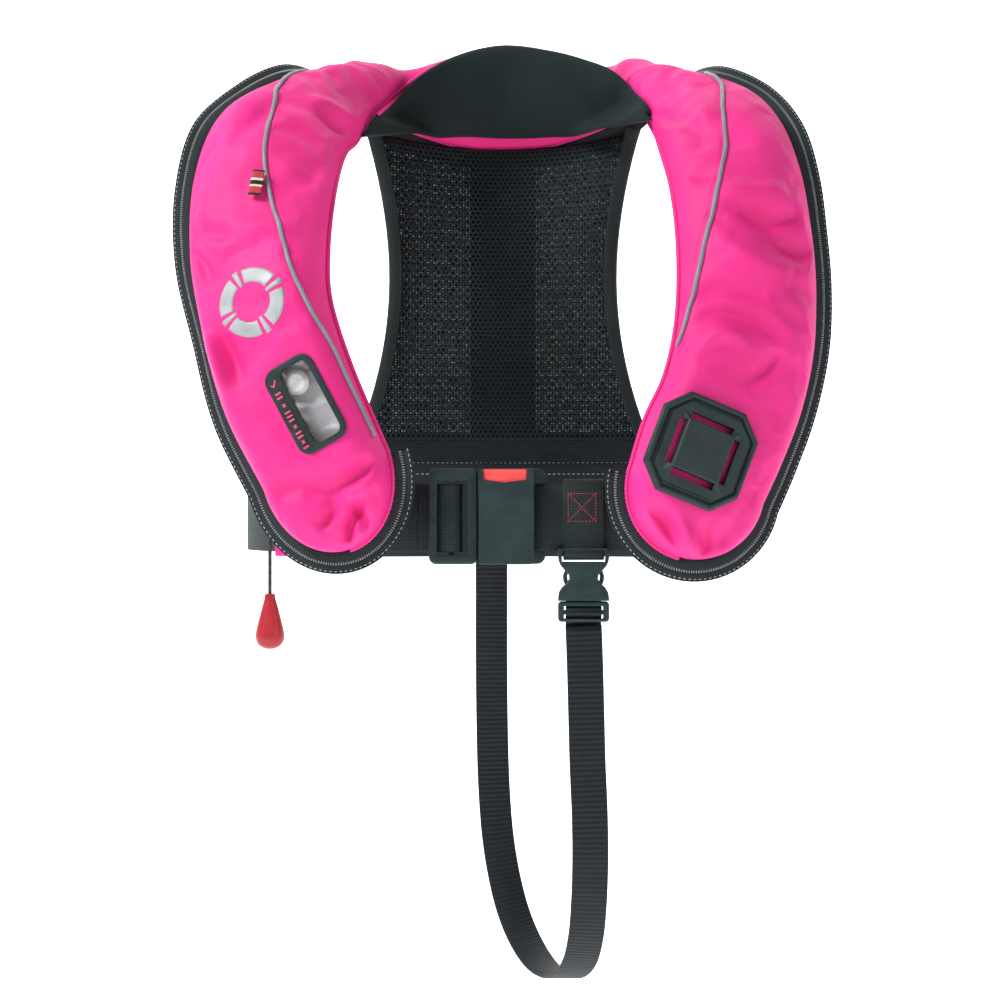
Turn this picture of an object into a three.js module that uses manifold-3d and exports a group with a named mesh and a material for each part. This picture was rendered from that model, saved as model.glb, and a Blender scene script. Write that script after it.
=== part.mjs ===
// Inflatable life jacket in its worn shape: a zipped horseshoe cover over a folded bladder, a mesh back
// panel,
// a waist belt with a push-button buckle and a crotch strap with a side-release buckle.
// Millimetres, +Z up, +X to the viewer's right, the front faces -Y. The origin is the neck rest: the
// middle of the
// collar's lower edge at the back of the neck, where a wearer or a hanger carries the jacket.
import * as THREE from "three";
import { mergeVertices } from "three/addons/utils/BufferGeometryUtils.js";
import Module from "manifold-3d";

const wasm = await Module();
wasm.setup();

// ---------- driving dimensions ----------
const gap = 0.4; // between pieces that touch
const coverWall = 1.6; // coated cover fabric
const lobeBulge = 30; // how far a lobe's front stands off its edge plane
const neckBulge = 19;
const bodyBulge = 15; // how far the side against the wearer stands off the edge plane
const seamGap = 1.4; // half the distance between the two cover faces at their edges
const leftEndLength = 54; // the lobes' round lower ends
const rightEndLength = 47;

const zipTapeWidth = 4.2;
const zipTapeThickness = 1.2;
const zipCoilWidth = 2.2;
const zipCoilThickness = 2;
const zipGap = 0.8; // between the coil and the tapes it is sewn to
const pipingRadius = 1.3;

const beltWidth = 47;
const beltThickness = 2;
const beltFrontY = -190;
const beltBackY = 27;
const beltSideX = 185;
const beltZ = -296;

const crotchStrapWidth = 25;
const crotchStrapThickness = 1.6;
const crotchTabWidth = 29;
const crotchTabX = 55;

const panelWaist = 82; // half width of the back panel where it is narrowest
const panelWaistZ = -108;
const panelFlare = 0.00156; // half width grows by this times the squared height from the waist
const panelTopZ = -8;
const panelTopRise = 0.0006; // the top edge rises towards the shoulders
const panelSeamZ = -234; // seam over the mesh band
const panelBottomZ = beltZ + beltWidth / 2 + 16.5;
const panelThickness = 5;
const bindingWidth = 8;

const buckleHeight = beltWidth + 19;
const buckleFrontY = -205;
const buckleRearY = -187.5;
const tongueLeftX = -51;
const housingLeftX = -17;
const housingRightX = 29;
const housingWall = 2.4;
const tonguePlateThickness = 4;
const tonguePlateHeight = buckleHeight - 36;
const tonguePlateReach = 24;
const buttonWidth = 30;

const sideBuckleWidth = 35;
const sideBuckleDepth = 9;
const sideBuckleTopZ = beltZ - beltWidth / 2 + 3; // its bar hangs just under the belt's lower edge
const socketHeight = 36;
const plugBaseHeight = 14;
const armThickness = 3;

const handleLength = 38;
const handleRadius = 10.2;
const cordRadius = 1.4;
const cordX = -161.5;
const cordY = -183;
const cordExitZ = -270;
const handleTopZ = -348.5;
const cordInGuide = 34;
const guideWall = 1.2;

// ---------- cover outline ----------
// Pairs of [edge nearest the neck, outer edge], from the left lobe's lower end over the shoulder to the
// neck.
const leftEdges = [
  [[-77, -224, -253], [-160, -206, -278]],
  [[-104, -220, -190], [-186, -198, -227]],
  [[-118, -212, -145], [-203, -184, -169]],
  [[-120, -200, -112], [-216, -170, -117]],
  [[-118, -174, -71], [-218, -152, -63]],
  [[-114, -125, -35], [-207, -135, -18]],
  [[-108, -85, -19], [-181, -110, 10]],
  [[-98, -50, 7], [-153, -80, 28]],
  [[-78, -22, 31], [-124, -36, 31]],
  [[-47, -6, 54], [-80, 8, 6]],
];
const neckEdges = [[[0, 2, 68], [0, 42, -8]]];
// From the neck over the right shoulder down to the right lobe's lower end.
const rightEdges = [
  [[52, -6, 57], [80, 8, 6]],
  [[81, -22, 33], [124, -36, 31]],
  [[102, -48, 12], [153, -78, 27]],
  [[112, -84, -13], [184, -108, 8]],
  [[114, -122, -33], [201, -132, -19]],
  [[118, -164, -65], [210, -149, -55]],
  [[120, -187, -97], [214, -160, -92]],
  [[120, -202, -133], [216, -171, -133]],
  [[117, -211, -167], [213, -182, -176]],
  [[109, -217, -200], [202, -193, -221]],
  [[96, -221, -228], [187, -200, -260]],
  [[84, -224, -266], [174, -206, -288]],
];
const edges = [...leftEdges, ...neckEdges, ...rightEdges];
const lastStation = edges.length - 1;
const neckStation = leftEdges.length;
const leftSeam = 7.6; // where the lobes' fabric meets the neck's
const rightSeam = 12.6;
const roundEnd = 0.93; // share of a quarter turn that the lobes' end rows go through

const innerCurve = new THREE.CatmullRomCurve3(edges.map(([inner]) => new THREE.Vector3(...inner)));
const outerCurve = new THREE.CatmullRomCurve3(edges.map(([, outer]) => new THREE.Vector3(...outer)));

// ---------- small tools ----------
const vec = (x, y, z) => new THREE.Vector3(x, y, z);
const along = (p, direction, distance) => p.clone().addScaledVector(direction, distance);
const range = (from, to, steps) =>
  Array.from({ length: steps + 1 }, (_, i) => from + ((to - from) * i) / steps);
const smooth = (x) => x * x * (3 - 2 * x);
const clamp01 = (x) => Math.min(1, Math.max(0, x));

// A solid for manifold-3d from a closed geometry, and back.
function solidOf(geometry) {
  const bare = (geometry.index ? geometry.toNonIndexed() : geometry.clone()).deleteAttribute("normal");
  if (bare.getAttribute("uv")) bare.deleteAttribute("uv");
  const merged = mergeVertices(bare, 1e-4);
  return new wasm.Manifold(
    new wasm.Mesh({
      numProp: 3,
      vertProperties: new Float32Array(merged.attributes.position.array),
      triVerts: new Uint32Array(merged.index.array),
    }),
  );
}

function geometryOf(solid) {
  const made = solid.getMesh();
  const points = new Float32Array(made.numVert * 3);
  for (let i = 0; i < made.numVert; i++)
    points.set(made.vertProperties.subarray(i * made.numProp, i * made.numProp + 3), i * 3);
  const geometry = new THREE.BufferGeometry();
  geometry.setAttribute("position", new THREE.BufferAttribute(points, 3));
  geometry.setIndex(new THREE.BufferAttribute(new Uint32Array(made.triVerts), 1));
  return geometry;
}

const join = (...geometries) => geometryOf(geometries.map(solidOf).reduce((all, s) => all.add(s)));
const cut = (geometry, ...cutters) =>
  geometryOf(cutters.map(solidOf).reduce((left, s) => left.subtract(s), solidOf(geometry)));

function fromTriangles(triangles) {
  const geometry = new THREE.BufferGeometry();
  geometry.setAttribute("position",
      new THREE.Float32BufferAttribute(triangles.flatMap((p) => p.toArray()), 3));
  const solid = solidOf(geometry);
  if (solid.volume() >= 0) return geometryOf(solid);
  const turned = [];
  for (let i = 0; i < triangles.length; i += 3) turned.push(triangles[i], triangles[i + 2],
      triangles[i + 1]);
  return fromTriangles(turned);
}

const quad = (a, b, c, d) => [a, b, c, a, c, d];

// A solid through rings of points, open ended with flat caps, or closed on itself.
function loft(rings, closed = false) {
  const triangles = [];
  const count = rings[0].length;
  const last = closed ? rings.length : rings.length - 1;
  for (let i = 0; i < last; i++) {
    const next = rings[(i + 1) % rings.length];
    for (let j = 0; j < count; j++) {
      const k = (j + 1) % count;
      triangles.push(...quad(rings[i][j], next[j], next[k], rings[i][k]));
    }
  }
  if (!closed)
    for (const [ring, first] of [[rings[0], true], [rings[rings.length - 1], false]]) {
      const middle = ring.reduce((sum, p) => sum.add(p), vec(0, 0, 0)).divideScalar(count);
      ring.forEach((p, j) => {
        const q = ring[(j + 1) % count];
        triangles.push(...(first ? [middle, p, q] : [middle, q, p]));
      });
    }
  return fromTriangles(triangles);
}

// A wall between two grids of points with the same rows and columns, such as the two faces of a sheet of
// cloth.
function wallBetween(face, back) {
  const triangles = [];
  const rows = face.length - 1;
  const columns = face[0].length - 1;
  for (let i = 0; i < rows; i++)
    for (let j = 0; j < columns; j++) {
      triangles.push(...quad(face[i][j], face[i][j + 1], face[i + 1][j + 1], face[i + 1][j]));
      triangles.push(...quad(back[i][j], back[i + 1][j], back[i + 1][j + 1], back[i][j + 1]));
    }
  for (let i = 0; i < rows; i++) {
    triangles.push(...quad(face[i][0], face[i + 1][0], back[i + 1][0], back[i][0]));
    triangles.push(...quad(face[i + 1][columns], face[i][columns], back[i][columns], back[i + 1][columns]));
  }
  for (let j = 0; j < columns; j++) {
    triangles.push(...quad(face[0][j + 1], face[0][j], back[0][j], back[0][j + 1]));
    triangles.push(...quad(face[rows][j], face[rows][j + 1], back[rows][j + 1], back[rows][j]));
  }
  return fromTriangles(triangles);
}

// A sheet of one thickness on a grid of points; the grid is its outer face and side says which way is in.
function sheetOn(grid, thickness, side = 1) {
  const back = grid.map((row, i) =>
    row.map((p, j) => {
      const down = grid[Math.min(i + 1, grid.length - 1)][j].clone().sub(grid[Math.max(i - 1, 0)][j]);
      const across = row[Math.min(j + 1, row.length - 1)].clone().sub(row[Math.max(j - 1, 0)]);
      return along(p, down.cross(across).normalize(), thickness * side);
    }),
  );
  return wallBetween(grid, back);
}

// A flat strap along a line of {at, across, out}: across is its width direction and out its face direction.
function strap(line, width, thickness, closed = false) {
  const rings = line.map(({ at, across, out }) =>
    [[-1, -1], [1, -1], [1, 1], [-1, 1]].map(([a, b]) =>
      along(along(at, across, (a * width) / 2), out, (b * thickness) / 2),
    ),
  );
  return loft(rings, closed);
}

// Frames for a strap that follows a curve with its width as near as possible to the given direction.
function strapLine(curve, steps, widthDirection) {
  return range(0, 1, steps).map((t) => {
    const tangent = curve.getTangentAt(t);
    const across = along(widthDirection, tangent, -widthDirection.dot(tangent)).normalize();
    return { at: curve.getPointAt(t), across, out: tangent.clone().cross(across).normalize() };
  });
}

function roundedRect(width, height, radius) {
  const [x, y, r] = [width / 2, height / 2, radius];
  const shape = new THREE.Shape();
  shape.moveTo(-x + r, -y).lineTo(x - r, -y).absarc(x - r, -y + r, r, -Math.PI / 2, 0);
  shape.lineTo(x, y - r).absarc(x - r, y - r, r, 0, Math.PI / 2);
  shape.lineTo(-x + r, y).absarc(-x + r, y - r, r, Math.PI / 2, Math.PI);
  shape.lineTo(-x, -y + r).absarc(-x + r, -y + r, r, Math.PI, 1.5 * Math.PI);
  return shape;
}

// An outline as a plate, from local z = 0 down to -thickness.
function plate(shape, thickness, bevel = 0) {
  const geometry = new THREE.ExtrudeGeometry(shape, {
    depth: thickness - 2 * bevel,
    curveSegments: 4,
    bevelEnabled: bevel > 0,
    bevelThickness: bevel,
    bevelSize: bevel,
    bevelOffset: -bevel,
    bevelSegments: 1,
  });
  return geometry.translate(0, 0, bevel - thickness);
}

const block = (x0, x1, y0, y1, z0, z1) =>
  new THREE.BoxGeometry(x1 - x0, y1 - y0, z1 - z0).translate((x0 + x1) / 2, (y0 + y1) / 2, (z0 + z1) / 2);

// A plate drawn in X and Z, standing upright with its front at y = front.
const upright = (shape, front, thickness, bevel) =>
  plate(shape, thickness, bevel).rotateX(Math.PI / 2).translate(0, front, 0);

function roundSweep(curve, radius, steps, sides = 8) {
  const section = new THREE.Shape(
    range(0, sides - 1, sides - 1).map((i) => {
      const angle = (2 * Math.PI * i) / sides;
      return new THREE.Vector2(radius * Math.cos(angle), radius * Math.sin(angle));
    }),
  );
  return new THREE.ExtrudeGeometry(section, { steps, extrudePath: curve });
}

// ---------- the cover's surfaces ----------
// The edges, outward direction and swell of the horseshoe at a station. Stations below 0 and past the
// last one
// run through the lobes' round ends.
function section(station) {
  const s = Math.min(lastStation, Math.max(0, station));
  const t = s / lastStation;
  const inner = innerCurve.getPoint(t);
  const outer = outerCurve.getPoint(t);
  const step = 0.02 / lastStation;
  const ahead = Math.min(1, t + step);
  const behind = Math.max(0, t - step);
  const travel = innerCurve.getPoint(ahead).add(outerCurve.getPoint(ahead));
  travel.sub(innerCurve.getPoint(behind)).sub(outerCurve.getPoint(behind)).normalize();
  const chord = outer.clone().sub(inner);
  const out = travel.clone().cross(chord).normalize();
  const onNeck = 1 - smooth(clamp01((Math.abs(s - neckStation) - 2) / 4));
  let swell = lobeBulge + (neckBulge - lobeBulge) * onNeck;
  // At the turn of the shoulders the side against the wearer lies flatter.
  const onShoulder = Math.exp(-((Math.abs(s - neckStation) - 2) ** 2));
  let bodySwell = bodyBulge * (1 - 0.65 * onShoulder);
  const flat = 1 - smooth(clamp01((Math.min(s, lastStation - s) - 1.6) / 2));
  const past = station - s;
  if (past !== 0) {
    const turn = (Math.abs(past) * Math.PI) / 2;
    const axis = chord.clone().cross(out).normalize().multiplyScalar(past < 0 ? -1 : 1);
    if (axis.dot(travel) * past < 0) axis.negate();
    const length = past < 0 ? leftEndLength : rightEndLength;
    const middle = inner.clone().add(outer).multiplyScalar(0.5).addScaledVector(axis,
        length * Math.sin(turn));
    const half = chord.clone().multiplyScalar(Math.cos(turn) / 2);
    inner.copy(middle).sub(half);
    outer.copy(middle).add(half);
    swell *= Math.cos(turn) ** 0.6;
    bodySwell *= Math.cos(turn) ** 0.6;
  }
  return { inner, outer, out, swell, bodySwell, flat };
}

// Height of the fabric over the edge plane, from 0 at the edges to 1 in the middle. The lobes' lower
// parts are
// flatter, where the window and the lashing tab sit.
const crown = (v, flat = 0) => (1 - Math.abs(2 * v - 1) ** (2.8 + 4.6 * flat)) ** 0.6;

function coverPoint(station, v, side, lift = 0) {
  const { inner, outer, out, swell, bodySwell, flat } = section(station);
  const height = seamGap + (side > 0 ? swell * crown(v, flat) : bodySwell * crown(v)) + lift;
  return along(inner.lerp(outer, v), out, side * height);
}

// A frame on the front surface: local x across the lobe to the viewer's right, y up the lobe, z out of it.
function frontFrame(station, v, lift, turn = 0) {
  const step = 0.02;
  const up = coverPoint(station + step, v, 1).sub(coverPoint(station - step, v, 1)).normalize();
  const [low, high] = [Math.max(0, v - step), Math.min(1, v + step)];
  const across = coverPoint(station, high, 1).sub(coverPoint(station, low, 1)).normalize();
  const out = up.clone().cross(across).normalize();
  const at = along(coverPoint(station, v, 1), out, lift);
  if (up.z < 0) up.negate();
  const x = up.clone().cross(out).normalize();
  return new THREE.Matrix4()
    .makeBasis(x, out.clone().cross(x), out)
    .setPosition(at)
    .multiply(new THREE.Matrix4().makeRotationZ(turn));
}

const acrossSteps = [0, 0.03, 0.1, 0.24, 0.5, 0.76, 0.9, 0.97, 1];

// The rows of stations that one cover piece runs through.
function coverRows(from, to, steps) {
  const rows = range(Math.max(0, from), Math.min(lastStation, to), steps);
  const ends = [0.3, 0.55, 0.78, roundEnd];
  if (from < 0) rows.unshift(...ends.map((e) => -e).reverse());
  if (to > lastStation) rows.push(...ends.map((e) => lastStation + e));
  return rows;
}

function coverFace(from, to, steps, side) {
  const grid = coverRows(from, to, steps).map((s) => acrossSteps.map((v) => coverPoint(s, v, side)));
  return sheetOn(grid, coverWall, -side);
}

// ---------- zip along the outer edge, round both lower ends ----------
const zipSteps = 84;
const endSteps = 0.16; // share of the zip's length in each round end
function outlineAt(share) {
  if (share < endSteps || share > 1 - endSteps) {
    const left = share < endSteps;
    const { inner, outer, out } = section(left ? 0 : lastStation);
    const turn = (Math.PI * (left ? share : 1 - share)) / endSteps;
    const half = outer.clone().sub(inner).multiplyScalar(0.5);
    const below = section(left ? -1 : lastStation + 1).inner;
    const middle = inner.clone().add(outer).multiplyScalar(0.5);
    const axis = below.sub(middle);
    return { at: along(along(middle, axis, Math.sin(turn)), half, -Math.cos(turn)), out };
  }
  const station = ((share - endSteps) / (1 - 2 * endSteps)) * lastStation;
  const { outer, out } = section(station);
  return { at: outer, out };
}

function zipFrame(share, offset, drop) {
  const { at, out } = outlineAt(share);
  const step = 0.004;
  const travel = outlineAt(Math.min(1, share + step)).at.sub(outlineAt(Math.max(0,
      share - step)).at).normalize();
  const away = out.clone().cross(travel).normalize();
  return { at: along(along(at, away, offset), out, -drop), across: away, out: travel.clone().cross(away) };
}

const zipLine = (offset, drop) => range(0, 1, zipSteps).map((share) => zipFrame(share, offset, drop));

const zipTapeOffset = 1.7 + zipTapeWidth / 2; // clear of the cover's hemmed edge
const zipCoilOffset = zipTapeOffset + zipTapeWidth / 2 + zipGap + zipCoilWidth / 2;
const zipBackOffset = zipCoilOffset + zipCoilWidth / 2 + zipGap + zipTapeWidth / 2;

// ---------- parts ----------
const jacket = new THREE.Group();
const finish = (color, roughness, metalness = 0) => new THREE.MeshStandardMaterial({ color, roughness,
    metalness });
const materials = {
  cover: finish(0xef2a86, 0.6),
  neoprene: finish(0x16201f, 0.85),
  mesh: finish(0x10191a, 0.9),
  webbing: finish(0x15191b, 0.8),
  piping: finish(0x8d989c, 0.4),
  zip: finish(0x1a2224, 0.7),
  plastic: finish(0x262d2f, 0.5),
  red: finish(0xe5383b, 0.4),
  clear: finish(0xdfe6e8, 0.1),
  white: finish(0xf2f2ee, 0.4),
  steel: finish(0xb8bcc0, 0.3, 1),
  bladder: finish(0xf2c61e, 0.5),
  orange: finish(0xf07a1a, 0.5),
  label: finish(0xc73a45, 0.8),
};

function add(name, geometry, material, matrix) {
  const mesh = new THREE.Mesh(geometry, materials[material]);
  mesh.name = name;
  if (matrix) mesh.applyMatrix4(matrix);
  jacket.add(mesh);
}

// Window over the inflator, in the left lobe's front.
const windowStation = 0.7;
const windowAcross = 0.33;
const windowTurn = 0.06;
const windowWidth = 37;
const windowHeight = 63;
const windowFrameThickness = 3;
const windowRim = 4;
const windowMargin = 12; // the wider side of the frame carries the printed marks
const windowFrame = frontFrame(windowStation, windowAcross, 0.9, windowTurn);

function addCovers() {
  const windowHole = plate(roundedRect(windowWidth + 2 * gap, windowHeight + 2 * gap, 9 + gap), 18)
    .translate(0, 0, 9)
    .applyMatrix4(windowFrame);
  add("cover_front_left", cut(coverFace(-1, leftSeam - 0.02, 15, 1), windowHole), "cover");
  add("cover_front_neck", coverFace(leftSeam + 0.02, rightSeam - 0.02, 15, 1), "cover");
  add("cover_front_right", coverFace(rightSeam + 0.02, lastStation + 1, 17, 1), "cover");
  add("cover_back_left", coverFace(-1, leftSeam - 0.02, 15, -1), "cover");
  add("cover_back_neck", coverFace(leftSeam + 0.02, rightSeam - 0.02, 15, -1), "cover");
  add("cover_back_right", coverFace(rightSeam + 0.02, lastStation + 1, 17, -1), "cover");
}

function addWindow() {
  const rim = roundedRect(windowWidth, windowHeight, 9);
  const openingWidth = windowWidth - windowMargin - windowRim;
  const openingHeight = windowHeight - 2 * windowRim;
  const opening = roundedRect(openingWidth, openingHeight, 5);
  const shift = (windowMargin - windowRim) / 2;
  const hole = plate(opening, 3 * windowFrameThickness).translate(shift, 0, windowFrameThickness);
  add("window_frame", cut(plate(rim, windowFrameThickness, 0.8), hole), "plastic", windowFrame);
  const paneShape = roundedRect(openingWidth - 2 * gap, openingHeight - 2 * gap, 5 - gap);
  add("window_pane", plate(paneShape, 1).translate(shift, 0, -1), "clear", windowFrame);
}

// The bladder lies folded against the wearer's side, behind the inflator, and runs through the whole
// horseshoe.
function addBladder() {
  const rows = range(0.15, lastStation - 0.15, 40);
  const rings = rows.map((s) => {
    const lobe = smooth(clamp01((Math.abs(s - neckStation) - 2) / 3));
    const { inner, outer, out, bodySwell } = section(s);
    const face = [-1, -0.6, 0, 0.6, 1].map((share) => 0.5 + (0.18 + 0.16 * lobe) * share);
    const level = (v, height) => along(inner.clone().lerp(outer, v), out, height);
    const front = face.map((v) => level(v, 5 - 12 * lobe));
    const back = face.map((v) => level(v, -Math.min(3 + 10 * lobe, bodySwell * crown(v) - 3.4)));
    return [...front, ...back.reverse()];
  });
  add("bladder", loft(rings), "bladder");
}

function addZip() {
  add("zip_tape_front", strap(zipLine(zipTapeOffset, 0), zipTapeWidth, zipTapeThickness), "zip");
  add("zip_coil", strap(zipLine(zipCoilOffset, 0.4), zipCoilWidth, zipCoilThickness), "zip");
  add("zip_tape_back", strap(zipLine(zipBackOffset, 0.8), zipTapeWidth, zipTapeThickness), "zip");
}

// The slider parks on the level run of the zip behind the neck.
function addZipSlider() {
  const middle = zipFrame(endSteps + (neckStation / lastStation) * (1 - 2 * endSteps), zipCoilOffset, 0.4);
  const matrix = new THREE.Matrix4().makeBasis(vec(1, 0, 0), middle.across, vec(1, 0,
      0).cross(middle.across));
  matrix.setPosition(middle.at);
  const outY = matrix.clone().setPosition(0, 0, 0);
  const faceUp = vec(0, 0, 1).applyMatrix4(outY).y > 0 ? 1 : -1;
  const bodyLift = faceUp * (zipCoilThickness / 2 + gap + 1.6);
  const body = new THREE.BoxGeometry(9, 7.5, 2).translate(0, 0, bodyLift);
  const lugs = [-1.9, 1.9].map((x) => new THREE.BoxGeometry(1, 3, 2.6).translate(x, 0,
      bodyLift + faceUp * 2.2));
  add("zip_slider", join(body, ...lugs), "steel", matrix);
  const tab = new THREE.BoxGeometry(2, 16, 1.2).translate(0, 8.5, bodyLift + faceUp * 2.6);
  const end = new THREE.BoxGeometry(6, 9, 1.2).translate(0, 14, bodyLift + faceUp * 2.6);
  add("zip_pull_tab", join(tab, end), "plastic", matrix);
}

// Reflective piping on the seam between each lobe's two front panels: [station, share across].
const pipingRoutes = {
  piping_left: [
    [7, 0.96], [6.4, 0.9], [5.6, 0.74], [5, 0.58], [4.5, 0.5], [4, 0.42], [3.4, 0.3], [3, 0.22], [2.5,
        0.16],
    [2, 0.1], [1.3, 0.03],
  ],
  piping_right: [
    [13.1, 0.96], [13.8, 0.8], [15, 0.54], [15.8, 0.4], [16.2, 0.31], [16.8, 0.21], [17.3, 0.14],
        [17.8, 0.09],
    [18.6, 0.04], [19.4, 0.01],
  ],
};

function addPiping() {
  for (const [name, route] of Object.entries(pipingRoutes)) {
    const flat = new THREE.SplineCurve(route.map(([s, v]) => new THREE.Vector2(s, v)));
    const points = flat.getPoints(26).map((p) => {
      const v = Math.min(0.99, Math.max(0.01, p.y));
      return vec(0, 0, 0).applyMatrix4(frontFrame(p.x, v, pipingRadius + gap));
    });
    add(name, roundSweep(new THREE.CatmullRomCurve3(points), pipingRadius, 34, 6), "piping");
  }
}

function addSideLabel() {
  const frame = frontFrame(3.7, 0.43, 1.6);
  add("side_label", new THREE.BoxGeometry(9, 21, 0.8).translate(-4.6, 0, 0), "label", frame);
}

// Moulded lashing tab on the right lobe: an eight-sided plate with a square bridge and four strap slots.
const tabStation = 21.4;
const tabAcross = 0.35;
const tabTurn = 0;
const tabSize = 70;
const tabCorner = 15;
const tabPlateThickness = 3;
const bridgeSize = 34;
const bridgeHeight = 6;
const slotWidth = 5;
const slotLength = 31;
const tabFrame = frontFrame(tabStation, tabAcross, tabPlateThickness + 1.2, tabTurn);

function cutSquare(size, corner) {
  const [h, c] = [size / 2, corner];
  const points = [[c - h, -h], [h - c, -h], [h, c - h], [h, h - c], [h - c, h], [c - h, h], [-h,
      h - c], [-h, c - h]];
  return new THREE.Shape(points.map(([x, y]) => new THREE.Vector2(x, y)));
}

function addLashTab() {
  const base = plate(cutSquare(tabSize, tabCorner), tabPlateThickness, 0.8);
  const ring = plate(cutSquare(bridgeSize + 2 * slotWidth + 12, tabCorner - 5),
      tabPlateThickness).translate(0, 0, 2.2);
  const bridge = plate(roundedRect(bridgeSize, bridgeSize, 1.5), bridgeHeight + 1, 0.8).translate(0, 0,
      bridgeHeight);
  const slots = [0, 1, 2, 3].map((quarter) =>
    new THREE.BoxGeometry(slotLength, slotWidth, 30)
      .translate(0, bridgeSize / 2 + slotWidth / 2, 0)
      .rotateZ((quarter * Math.PI) / 2),
  );
  add("lash_tab", cut(join(base, ring, bridge), ...slots), "plastic", tabFrame);
}

// ---------- inflator, in the left lobe behind the window ----------
const cylinderRadius = 14.5;
const cylinderLength = 118;
const inflator = frontFrame(windowStation, windowAcross, -lobeBulge - seamGap, windowTurn);
const capRadius = 8.5;
const leverLength = 26;

function addInflator() {
  const body = plate(roundedRect(24, 50, 6), 18, 1.5).translate(2, -3, 17);
  const neck = new THREE.CylinderGeometry(8, 8, 12, 16).translate(2, 26, 9);
  const leverSlot = block(-12, -5.5, -30, -6, 2, 14);
  add("inflator_body", cut(join(body, neck), leverSlot), "white", inflator);
  const cap = new THREE.CylinderGeometry(capRadius, capRadius, 5, 24).rotateX(Math.PI / 2);
  const dome = new THREE.CylinderGeometry(capRadius - 2.2, capRadius, 1.8, 24).rotateX(Math.PI / 2);
  add("firing_cap", join(cap, dome.translate(0, 0, 3.3)).translate(-1, 17.5, 17 + gap + 2.5), "white",
      inflator);
  const lever = join(block(-11.5, -7, -8 - leverLength, -9, 5, 8), block(-11.5, -7, -12, -8, 4, 10));
  add("firing_lever", lever, "red", inflator);
  // The gas cylinder screws on above and follows the lobe upwards.
  const profile = [[0, 0], [7, 0], [7, 8], [cylinderRadius, 20], [cylinderRadius, cylinderLength - 8],
      [9, cylinderLength], [0, cylinderLength]];
  const cylinder = new THREE.LatheGeometry(profile.map(([r, y]) => new THREE.Vector2(r, y)), 20);
  const foot = vec(2, 36, 14).applyMatrix4(inflator);
  const aim = coverPoint(3.55, 0.5, 1, -lobeBulge - seamGap + 14).sub(foot).normalize();
  const turned = new THREE.Matrix4().makeRotationFromQuaternion(
    new THREE.Quaternion().setFromUnitVectors(vec(0, 1, 0), aim),
  );
  add("co2_cylinder", cylinder, "steel", turned.setPosition(foot));
}

// ---------- mouth tube and whistle, in the right lobe ----------
function addMouthTube() {
  const frame = frontFrame(18.1, 0.5, -lobeBulge - seamGap);
  const tube = new THREE.LatheGeometry(
    [[0, 0], [8, 0], [8, 4], [6, 6], [6, 62], [0, 62]].map(([r, y]) => new THREE.Vector2(r, y)),
    16,
  );
  add("oral_tube", tube.translate(-12, -30, 9), "bladder", frame);
  const cap = new THREE.CylinderGeometry(7.5, 7.5, 12, 16).translate(-12, 32 + gap + 6, 9);
  add("oral_tube_cap", cap, "plastic", frame);
  const whistleBody = plate(roundedRect(16, 46, 5), 8, 1).translate(14, 0, 14);
  const mouthSlot = block(9, 19, 10, 15, 10, 20);
  add("whistle", cut(whistleBody, mouthSlot), "orange", frame);
}

// ---------- collar ----------
// Neoprene pad on the neck side of the cover, from the top edge down, drawn out to a point at both
// shoulders.
const padFrom = 6.1;
const padTo = 13.7;
const padThickness = 6;
const padLow = 0.73;
const padLift = 2.6; // the pad stands off the cover by the seams under it
function addCollar() {
  const rows = range(0.02, 0.98, 22);
  const grid = rows.map((share) => {
    const station = padFrom + (padTo - padFrom) * share;
    const low = 0.06 + (padLow - 0.06) * (1 - Math.abs(2 * share - 1) ** 2.2);
    return [0, 0.2, 0.4, 0.6, 0.8, 1].map((w) => coverPoint(station, 0.03 + (low - 0.03) * w, -1, padLift));
  });
  // It is fitted to the cover, which folds at the shoulders.
  const names = ["cover_back_left", "cover_back_neck", "cover_back_right", "cover_front_neck"];
  const covers = names.map((name) => jacket.getObjectByName(name).geometry);
  const moves = [[gap, 0, 0], [-gap, 0, 0], [0, gap, 0], [0, -gap, 0], [0, 0, gap], [0, 0, -gap], [0,
      -1.2, -1.2]];
  const cushions = covers.flatMap((cover) => moves.map((move) => cover.clone().translate(...move)));
  const fitted = solidOf(cut(sheetOn(grid, padThickness, -1), ...cushions)).decompose();
  const largest = fitted.reduce((a, b) => (b.volume() > a.volume() ? b : a));
  add("collar_pad", geometryOf(largest), "neoprene");
}

// ---------- back panel ----------
const panelHalfWidth = (z) => panelWaist + panelFlare * (z - panelWaistZ) ** 2;
// The panel's depth: it wraps round the neck at the top and lies flatter at the belt.
function panelY(x, z) {
  const low = clamp01((panelTopZ - z) / (panelTopZ - panelBottomZ));
  return 30 + (beltBackY - 30) * low - (0.0042 - 0.0032 * low) * x * x;
}

function panelGrid(z0, z1, rows, left, right, columns) {
  return range(z0, z1, rows).map((z) =>
    range(0, 1, columns).map((share) => {
      const x = left(z) + (right(z) - left(z)) * share;
      const rise = panelTopRise * x * x * clamp01(1 - (panelTopZ - z) / 60);
      return vec(x, panelY(x, z), z + rise);
    }),
  );
}

function panelPiece(z0, z1, rows, left, right, columns, thickness, shift = 0) {
  const front = panelGrid(z0, z1, rows, left, right, columns);
  front.flat().forEach((p) => p.add(vec(0, shift - thickness / 2, 0)));
  const back = front.map((row) => row.map((p) => p.clone().add(vec(0, thickness, 0))));
  return wallBetween(front, back);
}

const sleeveTopZ = panelBottomZ - 4;
const sleeveBottomZ = beltZ - beltWidth / 2 - 6.5;
const sleeveHalfWidth = 112;

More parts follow.
